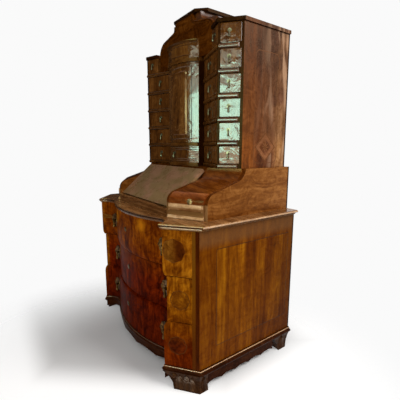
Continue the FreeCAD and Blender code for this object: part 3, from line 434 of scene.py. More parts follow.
def roll_shade(made, colour):
    # Painted highlight on the crest of the roll and painted shade on the wood between the crest and the
    # ledge; the ledge is pale as well.
    crest = made.both(made.along("Z", *CREST_FOOT), made.along("Z", *CREST_HEAD, 1.0, 0.0))
    pale = made.larger(crest, made.along("Z", *LEDGE_HEAD, 1.0, 0.0))
    return made.mix(pale, made.tinted(colour, rgb(184, 164, 138)), colour)


EDGE_BOW_HALF = 0.43
EDGE_SOFT = 0.02


def edge_shade(made, colour):
    # Painted highlight: the edge stays pale at the sides and wings, and is darkened along the bow, where it
    # catches no light.
    bow = made.span(made.aside(), *about(EDGE_BOW_HALF, EDGE_SOFT), 1.0, 0.0)
    return made.tinted(colour, rgb(124, 104, 90), bow)


LID_CLOUDS = ((11.0, 2.0, 0.5, 0.4), (0.40, 0.62))


def lid_shade(made, colour):
    # Soft olive and mauve clouds in the polish of the writing lid.
    return made.tinted(colour, made.mix(made.clouds(*LID_CLOUDS), rgb(224, 228, 206), rgb(255, 244, 246)))


LEAF_SPARKLE_Z = (0.040, 0.062)
LEAF_SPECKS = ((130.0, 3.0), (0.44, 0.60))


def leaf_shade(made, colour):
    # Painted highlight: pale specks on the upper part of the carving stand in for its sparkle.
    sparkle = made.both(made.clouds(*LEAF_SPECKS), made.along("Z", *LEAF_SPARKLE_Z))
    return made.mix(sparkle, colour, rgb(132, 114, 98))


BACK_BOARD_W = 0.168
BACK_JOINT = 0.010
BACK_JOINT_DEPTH = 0.85


def board_shade(made, colour):
    # Upright boards of different tones with dark joints between them.
    count = made.sums("DIVIDE", made.axis("X"), BACK_BOARD_W)
    own = made.node("ShaderNodeTexWhiteNoise", noise_dimensions="1D")
    made.feed(own.inputs["W"], made.sums("FLOOR", count))
    colour = made.tinted(colour, made.mix(own.outputs["Value"], rgb(206, 196, 186), rgb(255, 250, 240)))
    joint = made.span(made.sums("PINGPONG", count, 0.5), BACK_JOINT, 2 * BACK_JOINT, BACK_JOINT_DEPTH, 0.0)
    return made.mix(joint, colour, rgb(38, 24, 12))


BRASS = brass_finish("worn_brass", (38, 24, 10), (86, 58, 26), (136, 102, 56))
DROP_BRASS = brass_finish("drop_brass", (70, 60, 44), (104, 94, 74), (138, 130, 108))
PALE_BRASS = brass_finish("pale_brass", (78, 56, 36), (118, 90, 62), (156, 126, 96))
BASE_FRONT = wood("base_front_burl", (76, 32, 2), (146, 80, 10), (196, 124, 26), "Z", 1.0, (0.34, 0.50),
                  shade=wing_shade, polish=FLAT)
BASE_SIDE = wood("base_side_walnut", (86, 39, 2), (134, 73, 5), (172, 108, 15), "Z", 0.45,
                 shade=base_side_shade, polish=DULL)
DESK_SIDE = wood("desk_side_walnut", (84, 40, 6), (118, 66, 19), (158, 102, 48), "Y", 0.9)
UPPER_SIDE = wood("upper_side_walnut", (66, 36, 14), (102, 63, 32), (136, 94, 60), "Z", 0.8,
                  shade=upper_side_shade)
CABINET = wood("cabinet_front_burl", (50, 26, 6), (90, 53, 16), (130, 85, 34), "Z", 0.8, (0.06, 0.12),
               polish=MIRROR, wave=0.0042)
INNER = wood("inner_front_burl", (54, 27, 7), (91, 53, 19), (130, 83, 36), "Z", 0.8, (0.14, 0.24))
# Writing lid: its pale grey-brown is partly its own colour and partly a painted reflection of the pale
# surroundings.
LID = wood("lid_walnut", (136, 104, 74), (148, 115, 84), (160, 127, 96), "X", 0.2,
           shade=lid_shade, polish=POLISHED)
CROWN = wood("crown_walnut", (44, 18, 1), (78, 37, 2), (114, 64, 16), "X", 1.0, polish=DULL)
ROOF = wood("crown_roof_walnut", (44, 18, 1), (78, 37, 2), (114, 64, 16), "Y", 0.6, (0.32, 0.44),
            polish=MIRROR)
CROWN_EDGE = wood("crown_edge_walnut", (22, 8, 1), (36, 15, 2), (56, 28, 8), "X", 0.3, polish=SATIN)
MOULDING = wood("moulding_walnut", (70, 37, 14), (120, 77, 39), (164, 116, 70), "X", 0.4, (0.16, 0.28),
                polish=POLISHED)
CARVED = wood("carved_walnut", (26, 10, 2), (48, 24, 9), (78, 48, 26), "Z", 0.6, polish=SATIN)
LEAF = wood("leaf_sparkle_walnut", (30, 12, 3), (54, 29, 13), (86, 56, 34), "Z", 0.8, (0.16, 0.28),
            shade=leaf_shade)
APRON = wood("apron_walnut", (28, 9, 1), (48, 18, 4), (70, 34, 11), "X", 0.4, polish=DULL)
POST = wood("dark_post_walnut", (26, 9, 1), (42, 17, 2), (62, 30, 7), "Z", 0.3, polish=SATIN)
BASE_POST = wood("base_post_walnut", (40, 12, 1), (72, 26, 1), (96, 42, 4), "Z", 0.3,
                 shade=post_shade, polish=DULL)
CORNER = wood("desk_corner_walnut", (54, 26, 4), (90, 50, 12), (126, 80, 28), "X", 0.6, (0.14, 0.24),
              shade=corner_shade)
CORNER_FRONT = wood("corner_drawer_walnut", (72, 34, 8), (118, 66, 24), (156, 102, 48), "X", 0.6, (0.12, 0.2),
                    shade=corner_shade)
NOSING = wood("nosing_walnut", (52, 28, 10), (88, 56, 26), (128, 90, 52), "X", 0.3, (0.08, 0.16),
              polish=MIRROR)
DULL_NOSING = wood("dull_nosing_walnut", (46, 24, 6), (80, 46, 14), (112, 72, 28), "X", 0.3)
# Pale gold of the rolls, fillets and ledges of the corner blocks: partly their own pale wood, partly a
# painted highlight and reflection.
GOLDEN = wood("golden_walnut", (150, 108, 68), (206, 164, 116), (242, 210, 166), "X", 0.4, (0.10, 0.18),
              shade=roll_shade, polish=POLISHED)
# Pale edge beads: a painted highlight.
EDGE = wood("edge_highlight_walnut", (150, 108, 70), (190, 146, 102), (222, 182, 138), "X", 0.3, (0.12, 0.2),
            shade=edge_shade, polish=MIRROR)
PANEL = wood("panel_burl", (58, 30, 8), (98, 59, 22), (140, 94, 42), "Z", 1.0, (0.18, 0.28),
             polish=COPPERY, wave=0.003)
DARK_INLAY = wood("dark_inlay", (40, 16, 3), (58, 26, 5), (78, 40, 10), "Z", 0.3)
BROWN_INLAY = wood("brown_inlay", (62, 30, 8), (86, 46, 12), (108, 62, 18), "Z", 0.4)
FIELD_LINE = wood("field_line", (84, 46, 22), (100, 58, 30), (116, 70, 38), "Z", 0.3)
AMBER_INLAY = wood("amber_inlay", (104, 60, 32), (124, 75, 43), (146, 93, 58), "Y", 0.5)
FAINT_INLAY = wood("faint_inlay", (66, 28, 2), (126, 68, 8), (172, 106, 20), "X", 1.0,
                   shade=wing_shade, polish=DULL)
SAND_INLAY = wood("sand_inlay", (72, 36, 6), (114, 66, 14), (150, 94, 26), "Z", 1.0,
                  shade=sand_shade, polish=DULL)
SAND_EDGE = wood("sand_edge", (66, 32, 4), (106, 60, 11), (142, 86, 22), "X", 1.0,
                 shade=sand_shade, polish=DULL)
SAND_RIM = wood("sand_rim", (84, 46, 14), (122, 76, 28), (152, 104, 46), "X", 0.6,
                shade=sand_shade, polish=DULL)
PINE = wood("pine", (138, 98, 54), (178, 136, 84), (204, 166, 112), "Y", 0.3, (0.5, 0.7))
BACK_PINE = wood("back_pine", (112, 76, 40), (152, 110, 66), (182, 140, 92), "Z", 0.3, (0.5, 0.7),
                 shade=board_shade, polish=DULL)


# How the solids of a node are told apart
WELD_DIGITS = 5
BRASS_SIZE = 0.1
TALL_SHARE = 0.99
FACE_LIMIT = 0.9
SHINE_FROM = 0.400


def loose_parts(node):
    # Polygons of each separate solid of a node, found by joining corners that share a place.
    mesh = NODES[node].data
    chief = {}

    def top(key):
        while chief[key] != key:
            chief[key] = chief[chief[key]]
            key = chief[key]
        return key

    keys = [tuple(round(value, WELD_DIGITS) for value in vertex.co) for vertex in mesh.vertices]
    for key in keys:
        chief.setdefault(key, key)
    for polygon in mesh.polygons:
        first = top(keys[polygon.vertices[0]])
        for corner in polygon.vertices[1:]:
            chief[top(keys[corner])] = first
    parts = {}
    for polygon in mesh.polygons:
        parts.setdefault(top(keys[polygon.vertices[0]]), []).append(polygon)
    return list(parts.values())


def extent(node, polygons):
    # Lowest and highest corner of some polygons of a node.
    vertices = NODES[node].data.vertices
    places = [vertices[corner].co for polygon in polygons for corner in polygon.vertices]
    low = Vector([min(place[axis] for place in places) for axis in range(3)])
    high = Vector([max(place[axis] for place in places) for axis in range(3)])
    return low, high


def front_polygons(node):
    # Polygons of the tallest solid of a node, which is the front of a drawer.
    parts = loose_parts(node)
    sizes = [extent(node, polygons) for polygons in parts]
    heights = [high.z - low.z for low, high in sizes]
    return parts[heights.index(max(heights))]


def front_middle(node):
    # Middle of the front of a drawer, at its foremost depth.
    low, high = extent(node, front_polygons(node))
    return Vector(((low.x + high.x) / 2, low.y, (low.z + high.z) / 2))


def dress(node, *finishes):
    # New material slots for a node. Its polygons, which take the first one, are given back.
    slots = NODES[node].data.materials
    slots.clear()
    for finish in finishes:
        slots.append(finish.material)
    return NODES[node].data.polygons


def dress_drawer(node, front, brass=BRASS):
    # The tallest solid is the front, small ones are brass, and the rest is the plain box behind.
    dress(node, front, PINE, brass)
    parts = [(polygons, extent(node, polygons)) for polygons in loose_parts(node)]
    tallest = max(high.z - low.z for polygons, (low, high) in parts)
    for polygons, (low, high) in parts:
        size = high - low
        choice = 1
        if max(size) < BRASS_SIZE:
            choice = 2
        elif size.z > TALL_SHARE * tallest:
            choice = 0
        for polygon in polygons:
            polygon.material_index = choice


PLAIN_NODES = (
    (BRASS, PULLS + ["hinges"]),
    (PINE, ["base_dust_boards", "base_drawer_guides", "desk_floor"]),
    (MOULDING, ["base_top", "desk_front_rail"]),
    (CARVED, ["feet"]),
    (APRON, ["aprons", "plinth_board"]),
    (CORNER, ["desk_shoulders"]),
    (CROWN, ["desk_top"]),
    (ROOF, ["crown_roof"]),
    (CROWN_EDGE, ["cornice_cap"]),
    (CABINET, ["tabernacle_door"]),
    (POST, ["upper_partitions"]),
    (LID, ["writing_lid"]),
)
PANEL_NODES = (
    ("upper_top", UPPER_SIDE, CROWN_EDGE),
    ("base_sides", BASE_SIDE, POST),
    ("base_corner_posts", BASE_SIDE, BASE_POST),
    ("back_panels", POST, BACK_PINE),
    ("desk_sides", DESK_SIDE, CORNER),
    ("upper_sides", UPPER_SIDE, POST),
)


def dress_all():
    for name in BASE_DRAWERS:
        dress_drawer(name, BASE_FRONT)
    for name in SMALL_DRAWERS:
        dress_drawer(name, CABINET if "outer" in name else INNER, DROP_BRASS)
    dress_drawer("centre_drawer", CABINET, DROP_BRASS)
    for side, sign in SIDES:
        dress_drawer("corner_drawer_" + side, CORNER_FRONT)
    for finish, names in PLAIN_NODES:
        for name in names:
            dress(name, finish)
    for name, broad, edge in PANEL_NODES:
        # Broad faces look sideways; the edges have their own finish.
        for polygon in dress(name, broad, edge):
            polygon.material_index = 0 if abs(polygon.normal.x) > FACE_LIMIT else 1
    # The edges of the boards between the small drawers shine on the right, where they face the window.
    for polygon in dress("row_boards", DULL_NOSING, NOSING):
        polygon.material_index = 1 if polygon.center.x > SHINE_FROM else 0
    # The tall solid is the bell-shaped board; the other is the frieze over the door, polished as the door is.
    for polygon in dress("pediment", CABINET, CROWN):
        polygon.material_index = 0
    for polygon in front_polygons("pediment"):
        polygon.material_index = 1


# Pieces laid on the carcass
TREES = {}
CAST_START = 0.3


def surface(node):
    # Tree of a node's polygons; of a drawer, only those of its front.
    if node not in TREES:
        mesh = NODES[node].data
        chosen = front_polygons(node) if "drawer" in node else mesh.polygons
        faces = [tuple(polygon.vertices) for polygon in chosen]
        TREES[node] = BVHTree.FromPolygons([vertex.co for vertex in mesh.vertices], faces)
    return TREES[node]


def seat(tree, place, out):
    # Point and normal of the surface that a place lies over, looking against the outward direction.
    hit, normal, index, reach = tree.ray_cast(place + out * CAST_START, -out)
    if hit is None:
        hit, normal, index, reach = tree.find_nearest(place)
    if normal.dot(out) < 0:
        normal = -normal
    return hit, normal


def linked(name, data):
    made = bpy.data.objects.new(name, data)
    bpy.context.collection.objects.link(made)
    return made


def placed(name, data, body):
    made = linked(name, data)
    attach(made, body)


def piece(name, body, places, faces, finishes, choices=None, smooth=True):
    mesh = bpy.data.meshes.new(name)
    mesh.from_pydata([tuple(place) for place in places], [], faces)
    for finish in finishes:
        mesh.materials.append(finish.material)
    for index, polygon in enumerate(mesh.polygons):
        polygon.use_smooth = smooth
        polygon.material_index = choices[index] if choices else 0
    mesh.update()
    placed(name, mesh, body)


def grid_faces(rows, columns, closed):
    # Quads of a grid of points, given row by row; a closed grid joins its last column to its first.
    faces = []
    wrap = columns if closed else columns - 1
    for row in range(rows - 1):
        for column in range(wrap):
            a = row * columns + column
            b = row * columns + (column + 1) % columns
            faces.append((a, b, b + columns, a + columns))
    return faces


def frame_of(out):
    # Directions to the right and up of what is seen against out.
    across = UP.cross(out).normalized()
    return across, out.cross(across)


def ring(centre, out, outline, steps):
    # Points round a centre, seen against out: outline is the radius at an angle.
    across, up = frame_of(out)
    points = []
    for step in range(steps):
        angle = 2 * math.pi * step / steps
        points.append(centre + (across * math.cos(angle) + up * math.sin(angle)) * outline(angle))
    return points


def scalloped(radius, lobes, depth, wide_from=0.0):
    # Outline with lobes, or a plain circle where the radius is small.
    reach = depth if radius > wide_from else 0.0
    return lambda angle: radius * (1 + reach * math.cos(lobes * angle))


LATHE_STEPS = 32
BEAD_STEPS = 3


def lathe(name, body, centre, out, profile, finish, lobes):
    # Turned brass with scalloped rims: profile pairs are (height along out, radius).
    places = []
    for height, radius in profile:
        places += ring(centre + out * height, out, scalloped(radius, *lobes), LATHE_STEPS)
    faces = grid_faces(len(profile), LATHE_STEPS, True)
    faces.append(tuple(reversed(range(LATHE_STEPS))))
    last = (len(profile) - 1) * LATHE_STEPS
    faces.append(tuple(range(last, last + LATHE_STEPS)))
    piece(name, body, places, faces, [finish])


def bead(name, body, points, radius, finish, closed=False):
    # Round bead along a line of points, half sunk in what it lies on.
    curve = bpy.data.curves.new(name, "CURVE")
    curve.dimensions = "3D"
    curve.bevel_depth = radius
    curve.bevel_resolution = BEAD_STEPS
    curve.use_fill_caps = True
    line = curve.splines.new("POLY")
    line.points.add(len(points) - 1)
    for point, place in zip(line.points, points):
        point.co = (*place, 1.0)
    line.use_cyclic_u = closed
    line.use_smooth = True
    curve.materials.append(finish.material)
    placed(name, curve, body)


def swept(name, body, path, profile, finish):
    # Moulding: the profile's (out, up) points at each station of the path, with closed ends.
    places = []
    for place, out in path:
        for reach, rise in profile:
            places.append(place + out * reach + UP * rise)
    count = len(profile)
    faces = grid_faces(len(path), count, True)
    faces.append(tuple(range(count)))
    faces.append(tuple(reversed(range(len(places) - count, len(places)))))
    piece(name, body, places, faces, [finish], smooth=False)


INLAY_STEPS = 64


def laid(tree, points, out, rise=INLAY_LIFT):
    # Points dropped on a surface and lifted off it a little.
    seats = [seat(tree, point, out) for point in points]
    return [hit + normal * rise for hit, normal in seats]


def inlay(name, body, tree, centre, out, rings, outline, finishes, chooser):
    # Flush sheet seen against out: outline(angle) is its radius, and rings are the shares where it is cut.
    places = []
    for share in rings:
        places += laid(tree, ring(centre, out, lambda angle: outline(angle) * share, INLAY_STEPS), out)
    faces = [tuple(reversed(face)) for face in grid_faces(len(rings), INLAY_STEPS, True)]
    choices = [chooser(*divmod(index, INLAY_STEPS)) for index in range(len(faces))]
    piece(name, body, places, faces, finishes, choices)


def stringing(name, tree, loop, out, finish):
    # Thin line of veneer along a closed loop of points that lie over a side.
    places = []
    count = len(loop)
    for index in range(count):
        tangent = (loop[(index + 1) % count] - loop[index - 1]).normalized()
        aside = out.cross(tangent) * (STRING_W / 2)
        places += laid(tree, (loop[index] - aside, loop[index] + aside), out)
    faces = []
    for index in range(count):
        a = 2 * index
        b = 2 * ((index + 1) % count)
        faces.append((a, b, b + 1, a + 1))
    piece(name, "carcass", places, faces, [finish])


CORNER_STEPS = 5


def rounded_loop(centre, half_width, half_height, radius):
    # Upright rectangle with round corners, as seen from the side.
    points = []
    for turn, (way_y, way_z) in enumerate(((1, 1), (-1, 1), (-1, -1), (1, -1))):
        for step in range(CORNER_STEPS + 1):
            angle = math.pi / 2 * (turn + step / CORNER_STEPS)
            y = way_y * (half_width - radius) + radius * math.cos(angle)
            z = way_z * (half_height - radius) + radius * math.sin(angle)
            points.append(centre + BACK * y + UP * z)
    return points


# Medallions on the canted wings of the base drawers: distance from the wing's tip, radius, rise
WING_TIP = Vector((0.4485, -0.386, 0.0))
WING_CORNER = Vector((0.592, -0.269, 0.0))
MEDALLIONS = {"top": (0.056, 0.058, 0.016), "middle": (0.082, 0.050, 0.0), "bottom": (0.072, 0.048, 0.0)}
MEDALLION_RINGS = (0.04, 0.3, 0.6, 0.90, 0.95, 1.0)
MEDALLION_RIM = 4
MEDALLION_SCALLOP = 0.035
PETALS = 8
SANDED = [SAND_INLAY, SAND_EDGE, SAND_RIM]
FAINT = [FAINT_INLAY, FAINT_INLAY, BROWN_INLAY]
WING_ALONG = (WING_CORNER - WING_TIP).normalized()
WING_OUT = Vector((WING_ALONG.y, -WING_ALONG.x, 0))


def mirrored(vector, sign):
    return Vector((sign * vector.x, vector.y, vector.z))


def medallion_tone(band, step):
    return 2 if band == MEDALLION_RIM else (step * PETALS // INLAY_STEPS) % 2


def medallions():
    for row, node in zip(BASE_ROWS, BASE_DRAWERS):
        from_tip, radius, rise = MEDALLIONS[row]
        low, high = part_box(node)
        spot = WING_TIP + WING_ALONG * from_tip + UP * ((low.z + high.z) / 2 + rise)
        outline = scalloped(radius, PETALS, MEDALLION_SCALLOP)
        finishes = SANDED if row == "top" else FAINT
        for side, sign in SIDES:
            name = "wing_medallion_%s_%s" % (side, row)
            inlay(name, node, surface(node), mirrored(spot, sign),
                  mirrored(WING_OUT, sign), MEDALLION_RINGS, outline, finishes, medallion_tone)


# Inlay on the sides
STAR_Y = 0.237
STAR_Z = 1.217
STAR_R = 0.029
STAR_WAIST = 0.42
STAR_POINTS = 8
STAR_RINGS = (0.05, 0.5, 1.0)
LOZENGE = (0.082, 0.080)
LOZENGE_RINGS = (0.56, 0.90, 0.97, 1.0)
LOZENGE_LINE = 1
# Framed fields: node, range from front to back, range in height, corner radius, finish of the line
SIDE_FIELDS = {
    "upper": ("upper_sides", (0.148, 0.328), (1.130, 1.710), 0.03, FIELD_LINE),
    "base": ("base_sides", FIELD_Y, FIELD_Z, 0.004, DARK_INLAY),
}
STRING_W = 0.0032


def star_outline(angle):
    turn = angle / (2 * math.pi) * STAR_POINTS % 1.0
    share = abs(2 * turn - 1)
    return STAR_R * (STAR_WAIST + (1 - STAR_WAIST) * share)


def star_tone(band, step):
    return (step * 2 * STAR_POINTS // INLAY_STEPS) % 2


def lozenge_outline(angle):
    return 1 / (abs(math.cos(angle)) / LOZENGE[0] + abs(math.sin(angle)) / LOZENGE[1])


def lozenge_tone(band, step):
    return 1 if band == LOZENGE_LINE else 0


def side_inlays():
    for side, sign in SIDES:
        out = RIGHT * sign
        tree = surface("upper_sides")
        star = Vector((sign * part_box("upper_sides")[1].x, STAR_Y, STAR_Z))
        inlay("side_star_" + side, "carcass", tree, star, out,
              STAR_RINGS, star_outline, [BROWN_INLAY, AMBER_INLAY], star_tone)
        inlay("side_lozenge_" + side, "carcass", tree, star, out,
              LOZENGE_RINGS, lozenge_outline, [AMBER_INLAY, BROWN_INLAY], lozenge_tone)
        for name, (node, (front, back), (low, high), radius, finish) in SIDE_FIELDS.items():
            centre = Vector((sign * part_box(node)[1].x, (front + back) / 2, (low + high) / 2))
            loop = rounded_loop(centre, (back - front) / 2, (high - low) / 2, radius)
            stringing("%s_field_line_%s" % (name, side), surface(node), loop, out, finish)


# Fittings of the drawers: rosettes as (height, radius), and plates behind the pulls as (radius, height)
ROSETTE = (
    (0.0, 0.0090),
    (0.0012, 0.0092),
    (0.0020, 0.0084),
    (0.0018, 0.0070),
    (0.0026, 0.0058),
    (0.0030, 0.0040),
    (0.0031, 0.0022),
)
ROSETTE_RISE = 0.010
# Scallops of round brass: how many, how deep, and the radius from which a ring has them
ROSETTE_LOBES = (12, 0.05, 0.0078)
PLATE_RINGS = (
    (0.0470, 0.0002),
    (0.0465, 0.0030),
    (0.0440, 0.0050),
    (0.0410, 0.0036),
    (0.0330, 0.0046),
    (0.0240, 0.0038),
    (0.0180, 0.0058),
    (0.0130, 0.0050),
    (0.0105, 0.0034),
)
PLATE_LOBES = (8, 0.05, 0.030)
# Lips of a facing on the right, on its inner and on its outer edge, and its steps as (inset, height)
FACING_LIPS = (0.008, 0.013)
FACING_STEPS = ((0.0, 0.0003), (0.0, 0.0014), (0.0010, 0.0022))
PLATE_X = 0.352


def front_face(node):
    # The widest polygon that looks forward on the front of a drawer.
    facing = [polygon for polygon in front_polygons(node) if polygon.normal.y < 0]
    return max(facing, key=lambda polygon: polygon.area)


def front_centre(node):
    # Place of the fitting on a small drawer's front and the direction it faces.
    spot = front_middle(node) + UP * ROSETTE_RISE
    widest = front_face(node)
    out = Vector(widest.normal)
    spot.y = widest.center.y - (spot.x - widest.center.x) * out.x / out.y
    return spot, out


def small_rosettes():
    fronts = [(node, *front_centre(node)) for node in SMALL_DRAWERS]
    fronts.append(("centre_drawer", front_middle("centre_drawer") + UP * ROSETTE_RISE, FRONT))
    for node, centre, out in fronts:
        lathe("rosette_" + node, node, centre, out, ROSETTE, DROP_BRASS, ROSETTE_LOBES)


def drawer_facings():
    # Lipped veneer faces of the outer drawers, which cover part of the posts beside them.
    for node in SMALL_DRAWERS:
        if "outer" not in node:
            continue
        widest = front_face(node)
        out = Vector(widest.normal)
        across, up = frame_of(out)
        vertices = NODES[node].data.vertices
        places = [vertices[corner].co for corner in widest.vertices]
        reaches = [across.dot(place - widest.center) for place in places]
        heights = [up.dot(place - widest.center) for place in places]
        lips = FACING_LIPS if widest.center.x > 0 else FACING_LIPS[::-1]
        sheet = []
        for inset, rise in FACING_STEPS:
            west = min(reaches) - lips[0] + inset
            east = max(reaches) + lips[1] - inset
            low = min(heights) + inset
            high = max(heights) - inset
            for x, z in ((west, low), (east, low), (east, high), (west, high)):
                sheet.append(widest.center + across * x + up * z + out * rise)
        faces = grid_faces(len(FACING_STEPS), 4, True)
        faces.append(tuple(range(len(sheet) - 4, len(sheet))))
        piece("facing_" + node, node, sheet, faces, [CABINET], smooth=False)


def pull_plates():
    faces = grid_faces(len(PLATE_RINGS), INLAY_STEPS, True)
    for row, node in zip(BASE_ROWS, BASE_DRAWERS):
        for side, sign in SIDES:
            centre = front_middle(node) + RIGHT * (sign * PLATE_X)
            places = []
            for radius, rise in PLATE_RINGS:
                points = ring(centre, FRONT, scalloped(radius, *PLATE_LOBES), INLAY_STEPS)
                places += laid(surface(node), points, FRONT, rise)
            piece("pull_plate_%s_%s" % (side, row), node, places, faces, [BRASS])


# Convex tabernacle: frame and panel of the door, mouldings of the frieze and of the drawer under the door
DOOR_R = 0.2273
DOOR_CENTRE = Vector((0.0, 0.1853, 0.0))
DOOR_LIFT = 0.0005
PANEL_ANGLE = 27.0
FRAME_ANGLE = 35.0
FRIEZE_ANGLE = 33.0
DRAWER_ANGLE = 43.0
DOOR_MARGIN = 0.022
DOOR_BEAD_R = 0.0032
BOW_BEAD_R = 0.0030
# Heights of the beads on the convex drawer, as shares of its height
DRAWER_BEADS = (0.10, 0.22, 0.80, 0.92)
# Gaps between the frieze's bead and the boards under and over it, and the depth of the cornice
FRIEZE_BELOW = 0.040
FRIEZE_ABOVE = 0.026
CORNICE_DROP = 0.016
FRIEZE_CORNICE = (
    (-0.001, 0.0),
    (0.003, 0.001),
    (0.006, 0.006),
    (0.010, 0.009),
    (0.011, 0.014),
    (-0.001, 0.0155),
)
# Raised panel: share of its width and height above the ground, from the edge to the middle
PANEL_STEPS = ((0.0, 0.0), (0.04, 0.0035), (0.09, 0.0035), (0.12, 0.0015), (0.18, 0.0050), (0.5, 0.0055))
PANEL_BORDER = 0.19
PANEL_NARROW = 0.35
ARC_STEPS = 16


def on_bow(angle, z, lift=0.0):
    # Point over the convex front at an angle from the middle, in degrees, and the direction out of it.
    turn = math.radians(angle)
    out = Vector((math.sin(turn), -math.cos(turn), 0))
    return DOOR_CENTRE + out * (DOOR_R + lift) + UP * z, out


def bow_path(angle, z):
    # Stations across the convex front at one height.
    return [on_bow(angle * (2 * step / ARC_STEPS - 1), z) for step in range(ARC_STEPS + 1)]


def bow_line(angle, z):
    return [place for place, out in bow_path(angle, z)]


def bow_loop(angle, low, high):
    # Closed loop of points round a field of the convex front.
    return bow_line(angle, low) + bow_line(-angle, high)


def edge_share(share):
    # The long sides of a panel have narrower borders, in proportion, than the short ones.
    if share < PANEL_BORDER:
        return share * PANEL_NARROW
    if share > 1 - PANEL_BORDER:
        return 1 - (1 - share) * PANEL_NARROW
    return share


def raised_panel(low, high):
    # Fielded panel of the convex door: its edges step up from the ground to the field.
    shares = list(PANEL_STEPS) + [(1 - share, rise) for share, rise in reversed(PANEL_STEPS[:-1])]
    places = []
    for share_z, rise_z in shares:
        for share, rise in shares:
            z = low + (high - low) * edge_share(share_z)
            place, out = on_bow(PANEL_ANGLE * (2 * share - 1), z, DOOR_LIFT)
            places.append(place + out * min(rise, rise_z))
    faces = grid_faces(len(shares), len(shares), False)
    piece("door_panel", "tabernacle_door", places, faces, [PANEL])


def tabernacle_mouldings():
    low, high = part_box("tabernacle_door")
    loop = bow_loop(FRAME_ANGLE, low.z + DOOR_MARGIN, high.z - DOOR_MARGIN)
    bead("door_frame_bead", "tabernacle_door", loop, DOOR_BEAD_R, NOSING, True)
    raised_panel(low.z + 2 * DOOR_MARGIN, high.z - 2 * DOOR_MARGIN)
    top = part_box("upper_top")[0].z
    loop = bow_loop(FRIEZE_ANGLE, high.z + FRIEZE_BELOW, top - FRIEZE_ABOVE)
    low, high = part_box("centre_drawer")
    for index, share in enumerate(DRAWER_BEADS):
        line = bow_line(DRAWER_ANGLE, low.z + (high.z - low.z) * share)
        name = "centre_drawer_bead_%d" % index
        bead(name, "centre_drawer", line, BOW_BEAD_R, NOSING)
    bead("frieze_bead", "carcass", loop, BOW_BEAD_R, DULL_NOSING, True)
    path = bow_path(DRAWER_ANGLE, top - CORNICE_DROP)
    swept("frieze_cornice", "carcass", path, FRIEZE_CORNICE, DULL_NOSING)


# Bell outline of the pediment, for the moulding that edges it
BELL_FOOT_HALF = 0.310
BELL_NECK_HALF = 0.095
BELL_SLOPE = math.radians(11.0)
BELL_LOW_R = 0.088
BELL_TOP_R = 0.042
BELL_STEPS = 8
BELL_SUNK = 0.0015
# Beads of the bell: name, distance from its outline, radius
BELL_BEADS = (("pediment_edge", 0.005, 0.0048), ("pediment_inner_bead", 0.017, 0.0026))


def arc(x, y, z, radius, start, turn):
    # Points on a circle that faces the front.
    angles = [start + turn * step / BELL_STEPS for step in range(BELL_STEPS + 1)]
    return [Vector((x + radius * math.cos(angle), y, z + radius * math.sin(angle))) for angle in angles]


def bell_points(inset, y):
    # Right half of the bell from its foot to its neck, drawn in by inset: a round, a slope and a hollow.
    turn = math.pi / 2 - BELL_SLOPE
    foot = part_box("upper_top")[0].z
    low_x = BELL_FOOT_HALF - BELL_LOW_R
    top_x = BELL_NECK_HALF + BELL_TOP_R
    slope_run = low_x - top_x + (BELL_LOW_R + BELL_TOP_R) * math.sin(BELL_SLOPE)
    slope_rise = slope_run * math.tan(BELL_SLOPE)
    top_z = foot + slope_rise + (BELL_LOW_R + BELL_TOP_R) * math.cos(BELL_SLOPE)
    hollow = arc(top_x, y, top_z, BELL_TOP_R + inset, -math.pi / 2 - BELL_SLOPE, -turn)
    return arc(low_x, y, foot, BELL_LOW_R - inset, 0.0, turn) + hollow


def pediment_mouldings():
    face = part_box("cornice_cap")[0].y + BELL_SUNK
    for name, inset, radius in BELL_BEADS:
        right = bell_points(inset, face)
        left = [mirrored(point, -1) for point in reversed(right)]
        bead(name + "_right", "carcass", right, radius, CROWN)
        bead(name + "_left", "carcass", left, radius, CROWN)


# Beads along the edges of the base's boards, the pale ones a painted highlight and the dark one between them
# a painted shadow in the cove: board, part of its edge, height, radius, finish
EDGE_SIDE_STEPS = 12
EDGE_FRONT_STEPS = 160
EDGE_SAFE = 0.001
EDGE_CORNER = 0.004
EDGE_BEADS = (
    ("base_top", "sides", 0.8530, 0.0044, EDGE),
    ("base_top", "front", 0.8562, 0.0016, EDGE),
    # Dark bead: painted shadow in the cove between the pale beads.
    ("base_top", "front", 0.8510, 0.0028, CROWN_EDGE),
    ("base_top", "front", 0.8440, 0.0042, EDGE),
    ("base_top", "all", 0.8372, 0.0022, MOULDING),
    ("plinth_board", "all", 0.1150, 0.0024, EDGE),
)


def edge_points(node, z):
    # Points round a board's sides and front at one height, from the back right corner to the back left one,
    # in one line or apart.
    tree = surface(node)
    low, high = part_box(node)
    right = []
    corner_y = WING_CORNER.y + EDGE_CORNER
    for step in range(EDGE_SIDE_STEPS + 1):
        y = high.y - (high.y - corner_y) * step / EDGE_SIDE_STEPS
        right.append(seat(tree, Vector((high.x, min(y, high.y - EDGE_SAFE), z)), RIGHT)[0])
    front = []
    reach = right[-1].x - EDGE_SAFE
    for step in range(EDGE_FRONT_STEPS + 1):
        x = reach * (1 - 2 * step / EDGE_FRONT_STEPS)
        front.append(seat(tree, Vector((x, low.y, z)), FRONT)[0])
    left = [mirrored(point, -1) for point in reversed(right)]
    return {"all": [right + front + left], "sides": [right, left], "front": [front]}


def edge_beads():
    for index, (node, part, z, radius, finish) in enumerate(EDGE_BEADS):
        for run, points in enumerate(edge_points(node, z)[part]):
            name = "%s_edge_%d_%d" % (node, index, run)
            bead(name, "carcass", points, radius, finish)


